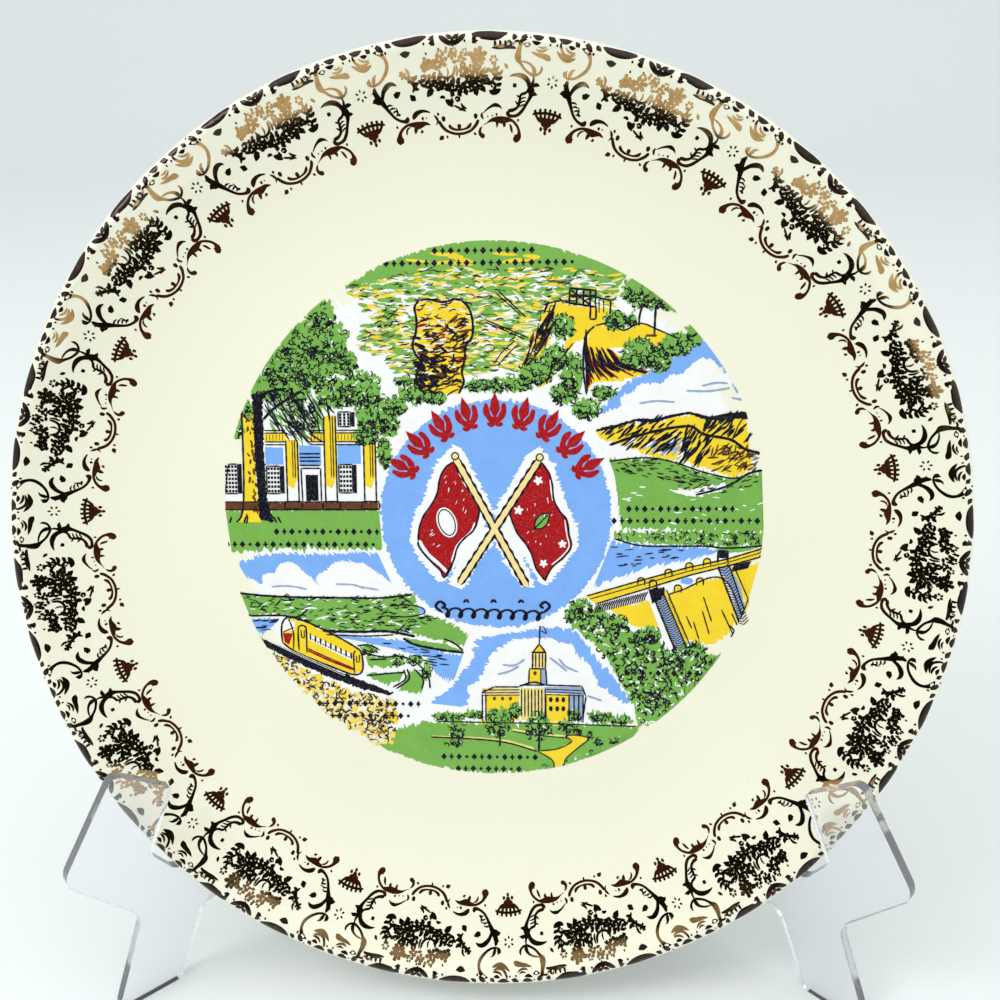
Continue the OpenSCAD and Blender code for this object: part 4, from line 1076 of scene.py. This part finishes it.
def basket(at):
    # a low bowl of buds: a scalloped top towards the rim, ribs under it, a solid body and a three-lobed foot
    for k in np.linspace(-1, 1, 6):
        gild("baskets", [(at + 1.15 * k, 107.8, .5), (at + 1.6 * k, 109.2 - 0.4 * k * k, .5)])
        giltDot("baskets", at + 1.65 * k, 109.9 - 0.5 * k * k, 1.05)
    for stroke in ([(-2, 108.7, .4), (-1.2, 109.1, .5), (0, 109.3, .5), (1.2, 109.1, .5), (2, 108.7, .4)],
                   [(-1.35, 107.9, .6), (-.7, 107.6, 1), (0, 107.5, 1.1), (.7, 107.6, 1),
                    (1.35, 107.9, .6)], [(-.7, 106.8, .7), (0, 106.6, 1.1), (.7, 106.8, .7)],
                    [(0, 106.6, 1), (0, 105.8, .9), (0, 105.2, .8)]):
        gild("baskets", [(at + a, r, w) for a, r, w in stroke])
    for a, r in ((-.62, 105.5), (.62, 105.5), (0, 104.7)):
        giltDot("baskets", at + a, r, 1.15)


basket(12)


def leafage(angle, radius, wide, tall, count, size, width, hollows=()):
    # small leaves set on a sunflower spiral inside an oval, each pointing outwards, none over a hollow
    perDegree = math.radians(radius)
    for k in range(count):
        out, a = math.sqrt((k + 0.5) / count), 2.4 * k
        x, y = angle + wide * out * math.cos(a), radius + tall * out * math.sin(a)
        if any(math.hypot((x - hx) / hw, (y - hy) / hh) < 1 for hx, hy, hw, hh in hollows):
            continue
        aim = a + 0.9 * math.sin(5.1 * k)
        c, s = size * math.cos(aim) / perDegree, size * math.sin(aim)
        gild("bouquets", [(x - 0.5 * c, y - 0.5 * s, 0.2), (x + 0.1 * c, y + 0.15 * s, width),
                          (x + 0.6 * c, y + 0.4 * s, 0.15)])


def bouquet():
    # roses and leaves, dense in the middle round a pale vase, and an open sprig on each side
    vase = [(-.85, 117.9, .75, 1.45), (1.65, 117.3, .22, .5), (2.7, 115, .2, .4), (-3.1, 117.9, .25, .35),
            (.55, 118.2, .14, 1.1)]
    for spot in ((-2.9, 116.2, 1.5, 1.9, 20, 1.7, .62), (0, 114.7, 1.25, 1.3, 13, 1.8, .66),
                 (2.5, 116.2, 1.55, 3.1, 36, 1.7, .6), (-3.2, 119.9, .85, 1.3, 9, 1.4, .85),
                 (-1.7, 120.1, .8, 1.4, 9, 1.4, .85), (2.9, 120.9, 1, 1.5, 12, 1.5, .9),
                 (.6, 120.9, 1.1, 1.3, 11, 1.3, .6), (-.5, 121.9, .8, .9, 7, 1.1, .6),
                 (-1.7, 115.2, .9, 1, 8, 1.5, .62), (1.1, 118.3, .5, 1.6, 8, 1.2, .55),
                 (-.6, 116, .8, .5, 5, 1.2, .55)):
        leafage(*spot, vase)
    for a, r, size in ((-2.9, 116.3, .8), (2.4, 114.9, .8), (2.7, 118.5, .75), (1.65, 117.3, .85),
                       (-3.1, 119.7, .7), (2.9, 120.6, .75)):
        ring("bouquets", a, r, size, .5)
        giltDot("bouquets", a, r, .5)
    for stroke in ([(-1.8, 118.6, .4), (-1.75, 117.6, .5), (-1.4, 116.8, .5), (-.85, 116.6, .5),
                    (-.3, 117, .5), (0, 117.9, .5), (.1, 119.2, .4)],
                   [(-.95, 116.9, .2), (-.75, 117.8, .35), (-.85, 118.8, .25)],
                   [(.3, 119.3, .3), (.38, 118, .4), (.2, 116.8, .4)],
                   [(.78, 119.5, .3), (.85, 118.2, .4), (.7, 117, .4)],
                   [(-2.9, 114.7, .6), (-3.3, 113.9, 1.2), (-3.8, 113, .3)],
                   [(1.1, 114.2, .5), (1.25, 113.3, 1), (1.4, 112.5, .2)],
                   [(2.4, 114, .5), (2.55, 113.1, 1.1), (2.7, 112.3, .2)],
                   [(3.2, 114.7, .5), (3.45, 113.9, 1), (3.75, 113.1, .2)],
                   [(-.4, 113.8, .5), (-.5, 113, 1), (-.75, 112.4, .2)],
                   [(.3, 113.8, .5), (.4, 113, 1), (.65, 112.3, .2)],
                   [(3.6, 116.2, .4), (4, 116, .8), (4.4, 115.5, .2)],
                   [(-1.5, 111.9, .5), (-1.1, 111.3, 1.2), (-.75, 110.5, .6), (-.6, 110.1, .2)],
                   [(-.6, 112.2, .4), (-.7, 111.3, .9), (-.6, 110.6, .3)],
                   [(-.3, 111.9, .4), (.1, 112.3, .5), (.4, 111.8, .5), (.1, 111.4, .5), (-.2, 111.7, .4)],
                   [(-.5, 110.5, .4), (.1, 109.9, .4), (.7, 109.4, .4)],
                   [(.5, 110.9, .3), (.7, 110.1, .5), (1.2, 109.5, .4)],
                   [(.1, 109.3, .2), (.7, 109.4, .5), (1.1, 108.9, .2)],
                   [(-2.2, 112.4, .3), (-1.8, 112.6, .6), (-1.5, 112.2, .4)],
                   [(4.7, 119.7, .5), (4.95, 118.6, .45), (4.55, 117.6, .45), (5, 116.6, .5),
                    (4.65, 115.6, .5), (5.05, 114.6, .5), (4.8, 113.7, .5)],
                   [(4.2, 113.5, .4), (4.7, 113.1, 1), (5.3, 113.4, .9), (5.7, 113.9, .3)],
                   [(5.5, 118.9, .3), (5.2, 118.2, .6), (4.8, 118, .5)],
                   [(5.9, 118.1, .3), (5.6, 117.2, .6), (4.9, 117, .6)],
                   [(3.9, 118.2, .3), (4.3, 118, .6), (4.6, 117.4, .5)],
                   [(5.9, 116.6, .4), (5.5, 116.1, .7), (4.9, 116.1, .5)],
                   [(3.9, 114.9, .3), (4.3, 115.1, .7), (4.8, 115.4, .5)],
                   [(5.8, 115.2, .3), (5.5, 114.8, .7), (5, 114.8, .5)],
                   [(6.1, 119.4, .3), (6.35, 118.8, .6), (6.5, 118.3, .2)],
                   [(-6.6, 119.3, .3), (-6.3, 118.4, .7), (-5.8, 117.6, .6), (-5.4, 116.6, .5),
                    (-5.2, 115.4, .5), (-5.5, 114.4, .4)],
                   [(-5.9, 114, .5), (-5.6, 113.2, 1.2), (-5.3, 112.6, .6)],
                   [(-5.9, 119.8, .3), (-5.6, 119, .5), (-5.6, 118, .5)],
                   [(-4.6, 118, .3), (-4.9, 117.4, .7), (-5.4, 117, .5)],
                   [(-4.5, 116.3, .3), (-4.9, 116.1, .7), (-5.3, 115.9, .5)],
                   [(-4.6, 114.9, .3), (-4.9, 115, .6), (-5.3, 115.2, .4)]):
        gild("bouquets", stroke)
    for a, r, size, count in ((4.8, 120.1, 1.1, 6), (-6.3, 118.4, 1, 5), (-5.5, 117.2, 1, 6),
                              (-5.1, 116, .8, 5), (5.1, 117.2, .8, 5), (4.8, 114.6, .8, 5),
                              (-1.5, 121.9, .9, 6), (.2, 122.2, .8, 5), (1.4, 121.9, .8, 5),
                              (-3.9, 117.1, .8, 5), (3.7, 117.9, .7, 5)):
        petals("bouquets", a, r, size, count, .6, 0.3, r * 30)


bouquet()


class Socket:
    # one output of a shader node; plain arithmetic on it adds Math nodes
    def __init__(self, finish, output):
        self.finish = finish
        self.output = output

    def maths(self, operation, a, b):
        return self.finish.node("ShaderNodeMath", {"operation": operation}, {0: a, 1: b})

    def __add__(self, other):
        return self.maths("ADD", self, other)

    def __sub__(self, other):
        return self.maths("SUBTRACT", self, other)

    def __rsub__(self, other):
        return self.maths("SUBTRACT", other, self)

    def __mul__(self, other):
        return self.maths("MULTIPLY", self, other)

    __radd__ = __add__
    __rmul__ = __mul__


class Finish:
    # a material and the one way that nodes are added to it
    def __init__(self, name):
        self.material = bpy.data.materials.new(name)
        self.material.use_nodes = True
        self.tree = self.material.node_tree
        self.tree.nodes.clear()
        self.place = self.node("ShaderNodeTexCoord", output="Object")

    def node(self, kind, settings=None, inputs=None, output=0):
        # a node of one kind, its settings first, then the value or link of each socket
        made = self.tree.nodes.new(kind)
        for key, value in (settings or {}).items():
            if key == "stops":
                for extra in range(len(value) - 2):
                    made.color_ramp.elements.new(0.5)
                for stop, (at, colour) in zip(made.color_ramp.elements, value):
                    stop.position = at
                    stop.color = (*colour, 1)
            else:
                setattr(made, key, value)
        for key, value in (inputs or {}).items():
            if isinstance(value, Socket):
                self.tree.links.new(value.output, made.inputs[key])
            else:
                made.inputs[key].default_value = value
        return Socket(self, made.outputs[output]) if made.outputs else made

    def noise(self, size, detail=3, rough=0.55, at=None):
        # soft cloud from 0 to 1 whose blotches are about size millimetres across
        return self.node("ShaderNodeTexNoise", {}, {"Vector": at or self.place, "Scale": 1000 / size,
                                                    "Detail": detail, "Roughness": rough})

    def ramp(self, factor, stops):
        # the colour at factor on a scale of (place, colour) stops
        return self.node("ShaderNodeValToRGB", {"stops": stops}, {0: factor})

    def band(self, value, low, high):
        # 0 below low, 1 above high, straight between
        return self.node("ShaderNodeMapRange", {}, {0: value, 1: low, 2: high, 3: 0.0, 4: 1.0})

    def mix(self, factor, a, b):
        # colour a at 0, colour b at 1, straight between
        return self.node("ShaderNodeMix", {"data_type": "RGBA"}, {0: factor, 6: a, 7: b}, 2)

    def bump(self, height, depth, strength=1.0):
        # a normal tilted by a height from 0 to 1 that stands for depth millimetres
        return self.node("ShaderNodeBump", {}, {"Strength": strength, "Distance": depth * mm,
                                                "Height": height})

    def shader(self, **sockets):
        # the surface itself, with its sockets under the short names below
        surface = self.node("ShaderNodeBsdfPrincipled", {},
                            {socketNames[key]: value for key, value in sockets.items()})
        self.node("ShaderNodeOutputMaterial", {}, {"Surface": surface})
        return self.material


socketNames = {"colour": "Base Color", "rough": "Roughness", "metal": "Metallic", "normal": "Normal",
         "clear": "Transmission Weight", "ior": "IOR"}


def rgba(colour, factor=1.0):
    # a colour made lighter or darker by factor, with full alpha
    return (*[min(1, c * factor) for c in colour], 1)


def glazeFinish():
    # cream tin glaze: cloudy thickness, a slow ripple, a few iron specks, faint shelf wear in the gloss
    look = {"cream": (0.90, 0.885, 0.72), "pool": (0.87, 0.85, 0.67), "speck": (0.35, 0.27, 0.17),
            "ripple": 0.05}
    f = Finish("creamGlaze")
    cloud = f.noise(46, 2)
    speck = f.band(f.noise(1.3, 1), 0.80, 0.84) * f.band(f.noise(9, 1), 0.52, 0.6)
    colour = f.mix(cloud, rgba(look["cream"]), rgba(look["pool"]))
    colour = f.mix(speck * 0.5, colour, rgba(look["speck"]))
    scuff = f.band(f.noise(5, 5, 0.7), 0.55, 0.75)
    ripple = f.noise(17, 1) + f.noise(2.2, 2) * 0.06
    return f.shader(colour=colour, rough=0.055 + scuff * 0.06, normal=f.bump(ripple, look["ripple"], 0.5),
                    ior=1.5)


def biscuitFinish():
    # bare fired clay on the foot ring: sandy, matt, rubbed grey where it stands
    f = Finish("bareClay")
    grain = f.noise(0.6, 4, 0.7)
    rubbed = f.band(f.noise(7, 4), 0.45, 0.7)
    colour = f.mix(grain, (0.70, 0.62, 0.47, 1), (0.80, 0.74, 0.60, 1))
    return f.shader(colour=f.mix(rubbed * 0.4, colour, (0.42, 0.38, 0.32, 1)), rough=0.75 + grain * 0.2,
                    normal=f.bump(grain, 0.12))


def inkFinish(name, colour):
    # printed colour under the glaze: uneven laydown, a fine dot grain, and the gloss of the glaze over it
    f = Finish(name + "Ink")
    laydown = f.noise(6, 4, 0.6)
    grain = f.noise(0.5, 2, 0.6)
    tone = f.mix(laydown, rgba(colour, 0.88), rgba(colour, 1.12))
    tone = f.mix(f.band(grain, 0.55, 0.8) * 0.18, tone, rgba([0.5 + 0.5 * c for c in colour]))
    return f.shader(colour=tone, rough=0.14 + laydown * 0.10,
                    normal=f.bump(laydown + grain * 0.3, 0.012, 0.6), ior=1.5)


def giltFinish(name, tones, flecks, metal):
    # thin gold, brownish where it is thin, with rubbed flecks and a soft burnish; bright with bright tones,
    # and with near-black tones a copy with painted shade
    f = Finish(name)
    thin = f.noise(4, 4, 0.65)
    rub = f.band(f.noise(1.1, 3, 0.7), 0.56, 0.72)
    colour = f.mix(rub * 0.35, f.ramp(thin, list(zip((0.3, 0.52, 0.75), tones))), rgba(flecks))
    return f.shader(colour=colour, metal=metal - rub * 0.03, rough=0.05 + thin * 0.035 + rub * 0.05,
                    normal=f.bump(thin + f.noise(0.7, 2) * 0.35, 0.008, 0.5))


def plasticFinish():
    # clear moulded plastic: flow ripple, hairline scuffs and a little haze
    f = Finish("clearPlastic")
    stretched = f.node("ShaderNodeMapping", {}, {"Vector": f.place, "Rotation": (0.5, 0.2, 0.7),
                                                 "Scale": (1, 1, 9)})
    hairs = f.band(f.noise(3.2, 2, 0.6, stretched), 0.62, 0.70)
    haze = f.noise(14, 3)
    ripple = f.noise(22, 1)
    return f.shader(colour=f.mix(haze, (0.975, 0.98, 1.0, 1), (0.94, 0.95, 0.985, 1)), clear=0.93, ior=1.49,
                    rough=0.008 + hairs * 0.09 + haze * 0.015,
                    normal=f.bump(ripple + hairs * 0.02, 0.05, 0.5))


print("making the finishes")
creamGlaze = glazeFinish()
bareClay = biscuitFinish()
brightGold = giltFinish("brightGold", ((0.36, 0.205, 0.075), (0.47, 0.29, 0.115), (0.60, 0.39, 0.17)),
                        (0.62, 0.47, 0.27), 1.0)
# painted shade: a near-black copy of the gilt for the marks over the round edge, standing for the dark
# reflections the gold shows there
shadedEdgeGold = giltFinish("shadedEdgeGold", ((0.012, 0.008, 0.007), (0.025, 0.012, 0.009), (0.06, 0.028, 0.017)),
                       (0.10, 0.05, 0.03), 0.5)
clearPlastic = plasticFinish()


def plateBody():
    # the profile (radius, height) from the middle of the face, over the rim and back to the middle,
    # turned about the axis
    turnEnd = math.pi / 2 + rimTurn
    t = np.linspace(0, rimTurn, plate["rimSteps"])
    edge = np.linspace(turnEnd, turnEnd - math.pi, plate["edgeSteps"])[1:-1]
    under = -plate["depth"] - plate["thickness"]
    flare, ringFoot = plate["ringFlare"], under - plate["ringHeight"]
    profile = np.concatenate([
        np.stack([np.linspace(0, plate["wellRadius"], 14)[:-1], np.full(13, -plate["depth"])], -1),
        np.stack([plate["wellRadius"] + frontArc * np.sin(t),
                  frontArc * (1 - np.cos(t)) - plate["depth"]], -1),
        np.stack([edgeRadius + halfThick * np.cos(edge), halfThick * (np.sin(edge) - 1)], -1),
        np.stack([plate["wellRadius"] + backArc * np.sin(t),
                  frontArc - backArc * np.cos(t) - plate["depth"]], -1)[::-2],
        [[plate["ringOuter"] + flare + 0.5, under], [plate["ringOuter"] + flare, under - 0.3],
         [plate["ringOuter"] + 0.1, ringFoot + 0.5],
         [plate["ringOuter"] - 0.5, ringFoot], [plate["ringInner"] + 0.5, ringFoot],
         [plate["ringInner"] - 0.1, ringFoot + 0.5],
         [plate["ringInner"] - flare, under - 0.3], [plate["ringInner"] - flare - 0.5, under]],
        np.stack([np.linspace(60, 0, 7), np.full(7, under)], -1)])
    turns, rows = plate["turns"], len(profile) - 2
    a = np.linspace(0, 2 * np.pi, turns, endpoint=False)
    r, n = profile[1:-1, 0][:, None], profile[1:-1, 1][:, None]
    sheet = plateToWorld(r * np.cos(a), r * np.sin(a), n + 0 * a)
    poles = plateToWorld(np.zeros(2), np.zeros(2), profile[[0, -1], 1])
    verts = np.concatenate([sheet.reshape(-1, 3), poles])
    at = np.arange(rows * turns).reshape(rows, turns)
    after = np.roll(at, -1, 1)
    quads = np.stack([at[:-1], at[1:], after[1:], after[:-1]], -1).reshape(-1, 4)
    front, back = rows * turns, rows * turns + 1
    tris = np.concatenate([np.stack([np.full(turns, front), at[0], after[0]], -1),
                           np.stack([np.full(turns, back), after[-1], at[-1]], -1)])
    piece = makePiece("plateBody", "plate", [(verts, quads, tris)], creamGlaze, True)
    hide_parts("plate_body")
    piece.data.materials.append(bareClay)
    ringRow = int(np.argmin(profile[1:-1, 1]))
    material = np.zeros(len(quads) + len(tris), np.int32)
    material[(ringRow - 1) * turns:(ringRow + 2) * turns] = 1
    piece.data.polygons.foreach_set("material_index", material)


plateBody()
for ink, blocks in printed.items():
    piece = makePiece(ink + "Ink", "plate", blocks, inkFinish(ink, inks[ink]["colour"]))
    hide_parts("centre_transfer")
# the marks over the round edge take the gilt copy with painted shade
for part, blocks in gilt.items():
    piece = makePiece("gilt" + part.capitalize(), "plate", blocks,
                      shadedEdgeGold if part == "edge" else brightGold)
    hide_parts("rim_transfer")


# The stand: how much its corners are rounded, in millimetres, and which faces are shaded smooth.
stand = {"round": 0.55, "steps": 3, "pinRound": 0.25, "flatShare": 0.1, "corner": 35}


def standPiece(node, name, bevel):
    # the part's own solid, merged, its flat faces joined up, and its corners softened as moulding leaves them
    made = bmesh.new()
    made.from_mesh(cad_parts[node].data)
    bmesh.ops.remove_doubles(made, verts=made.verts, dist=1e-6)
    bmesh.ops.dissolve_limit(made, angle_limit=math.radians(1), verts=made.verts, edges=made.edges)
    mesh = bpy.data.meshes.new(name)
    made.to_mesh(mesh)
    made.free()
    mesh.materials.clear()
    mesh.materials.append(clearPlastic)
    area = np.zeros(len(mesh.polygons))
    mesh.polygons.foreach_get("area", area)
    mesh.polygons.foreach_set("use_smooth", area < stand["flatShare"] * area.max())
    mesh.set_sharp_from_angle(angle=math.radians(stand["corner"]))
    piece = bpy.data.objects.new(name, mesh)
    bpy.context.scene.collection.objects.link(piece)
    soften = piece.modifiers.new("soften", "BEVEL")
    soften.width = bevel * mm
    soften.segments = stand["steps"]
    soften.limit_method = "ANGLE"
    soften.angle_limit = math.radians(stand["corner"])
    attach(piece, "stand")
    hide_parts(node)
    print("made", name)


standPiece("left_wing", "leftWing", stand["round"])
standPiece("right_wing", "rightWing", stand["round"])
standPiece("hinge_pin", "hingePin", stand["pinRound"])


# The room, in metres.
room = {"floor": (0.85, 0.885, 0.88), "halfWidth": 9, "front": -3, "back": 1.3, "curve": 0.8, "height": 5,
        "ambient": (0.955, 0.985, 1.0), "ambientPower": 0.83}


def backdrop():
    # a pale floor that turns up behind in a quarter circle
    f = Finish("paleFloor")
    f.shader(colour=f.mix(f.noise(60, 3), rgba(room["floor"]), rgba(room["floor"], 0.985)),
             rough=0.7 + f.noise(8, 3) * 0.1)
    a = np.linspace(0, np.pi / 2, 16)
    y = np.concatenate([[room["front"]], room["back"] + room["curve"] * np.sin(a),
                        [room["back"] + room["curve"]]])
    z = np.concatenate([[0], room["curve"] * (1 - np.cos(a)), [room["height"]]])
    x = np.array([-room["halfWidth"], room["halfWidth"]])
    grid = np.stack(np.broadcast_arrays(x[None], y[:, None], z[:, None]), -1)
    at = np.arange(grid.size // 3).reshape(len(y), 2)
    mesh = bpy.data.meshes.new("floor")
    mesh.from_pydata(grid.reshape(-1, 3).tolist(), [],
                     np.stack([at[:-1, 0], at[:-1, 1], at[1:, 1], at[1:, 0]], -1).tolist())
    mesh.polygons.foreach_set("use_smooth", np.ones(len(mesh.polygons), bool))
    mesh.materials.append(f.material)
    floor = bpy.data.objects.new("floor", mesh)
    bpy.context.scene.collection.objects.link(floor)


def shade():
    # painted reflections: a glowing cap of a sphere round the plate that stands in for the dark side of the
    # room, seen only in reflections;
    # it paints brown reflections in the middle, nearly black ones further out and one bright glowing band,
    # and is open on its floor side; angles in degrees
    card = {"radius": 0.45, "turn": -4, "rise": 8, "half": 37, "heart": (0.10, 0.042, 0.034),
            "heartHalf": 8, "heartFade": 7, "edge": (0.011, 0.014, 0.010), "reflectionBand": (27, 31.5),
            "reflectionBandWidth": 34, "reflectionBandTone": 0.5, "openFrom": 23.5, "openWidth": 64, "openBend": 0.001}
    tilt, a = np.meshgrid(np.radians(np.linspace(0.2, card["half"], 64)), np.linspace(0, 2 * np.pi, 97),
                          indexing="ij")
    ball = np.stack([np.sin(tilt) * np.cos(a), -np.cos(tilt), np.sin(tilt) * np.sin(a)], -1)
    aim = mathutils.Euler((-math.radians(card["rise"]), 0, math.radians(card["turn"])), "XYZ").to_matrix()
    points = ball @ np.array(aim).T * card["radius"] + np.array([0, -plate["middleY"], plate["centreZ"]]) * mm
    out = np.degrees(tilt)
    # painted reflections: brown in the middle, nearly black further out
    dark = np.clip((out - card["heartHalf"]) / card["heartFade"], 0, 1)[..., None]
    tone = np.array(card["heart"]) * (1 - dark) + np.array(card["edge"]) * dark
    # painted reflection: a glowing band on the card that paints a bright band into the gilt
    low, high = card["reflectionBand"]
    lit = (out > low) & (out < high) & (abs(np.degrees(a) - 90) < card["reflectionBandWidth"])
    tone = np.where(lit[..., None], card["reflectionBandTone"], tone)
    at = np.arange(tilt.size).reshape(tilt.shape)
    faces = np.stack([at[:-1, :-1], at[1:, :-1], at[1:, 1:], at[:-1, 1:]], -1)
    below = abs(np.degrees(a) - 270)
    floorSide = (below < card["openWidth"]) & (out > card["openFrom"] + card["openBend"] * below ** 2)
    faces = faces[~floorSide[1:, 1:]]
    mesh = bpy.data.meshes.new("shade")
    mesh.from_pydata(points.reshape(-1, 3).tolist(), [], faces.tolist())
    paint = mesh.color_attributes.new("tone", "FLOAT_COLOR", "POINT")
    tone = np.concatenate([tone, np.ones_like(tone[..., :1])], -1)
    paint.data.foreach_set("color", tone.astype(np.float32).ravel())
    f = Finish("shade")
    toneHere = f.node("ShaderNodeAttribute", {"attribute_name": "tone"})
    # the card glows with these painted tones though it is no lamp
    glow = f.node("ShaderNodeEmission", {}, {"Color": toneHere, "Strength": 1.0})
    through = f.band(f.node("ShaderNodeLightPath", output="Transmission Depth"), 0, 1)
    clear = f.node("ShaderNodeMixShader", {}, {0: through, 1: glow, 2: f.node("ShaderNodeBsdfTransparent")})
    f.node("ShaderNodeOutputMaterial", {}, {"Surface": clear})
    mesh.materials.append(f.material)
    piece = bpy.data.objects.new("shade", mesh)
    bpy.context.scene.collection.objects.link(piece)
    for rays in ("camera", "diffuse", "shadow", "transmission"):
        setattr(piece, "visible_" + rays, False)


def softBox(name, at, aim, size, power):
    # a rectangular lamp at a place, turned to shine on aim
    lamp = bpy.data.lights.new(name, "AREA")
    lamp.shape = "RECTANGLE"
    lamp.size, lamp.size_y = size
    lamp.energy = power
    box = bpy.data.objects.new(name, lamp)
    box.location = at
    box.rotation_euler = (mathutils.Vector(aim) - mathutils.Vector(at)).to_track_quat("-Z", "Y").to_euler()
    bpy.context.scene.collection.objects.link(box)


print("lighting and camera")
backdrop()
shade()
sky = bpy.data.worlds.new("sky")
sky.use_nodes = True
sky.node_tree.nodes["Background"].inputs["Color"].default_value = rgba(room["ambient"])
sky.node_tree.nodes["Background"].inputs["Strength"].default_value = room["ambientPower"]
bpy.context.scene.world = sky
bpy.context.scene.view_settings.view_transform = "Standard"
softBox("overhead", (0, -0.1, 1.3), (0, 0, 0.1), (1.6, 1.2), 4.5)
softBox("leftSide", (-0.75, -0.45, 1.0), (0, 0, 0.12), (0.45, 0.45), 4.0)
softBox("rightSide", (1.2, -0.3, 0.7), (0, 0, 0.12), (0.9, 0.9), 1.5)

# The camera: its lens in millimetres, its place in metres and its turn in degrees.
view = {"lens": 40.161, "sensor": 36, "nearest": 0.01,
        "place": (0.017887, -0.262045, 0.268190), "turn": (63.7844, 1.1592, 2.3528)}
eye = bpy.data.cameras.new("eye")
eye.lens = view["lens"]
eye.sensor_width = view["sensor"]
eye.clip_start = view["nearest"]
camera = bpy.data.objects.new("eye", eye)
camera.location = view["place"]
camera.rotation_euler = [math.radians(d) for d in view["turn"]]
bpy.context.scene.collection.objects.link(camera)
bpy.context.scene.camera = camera
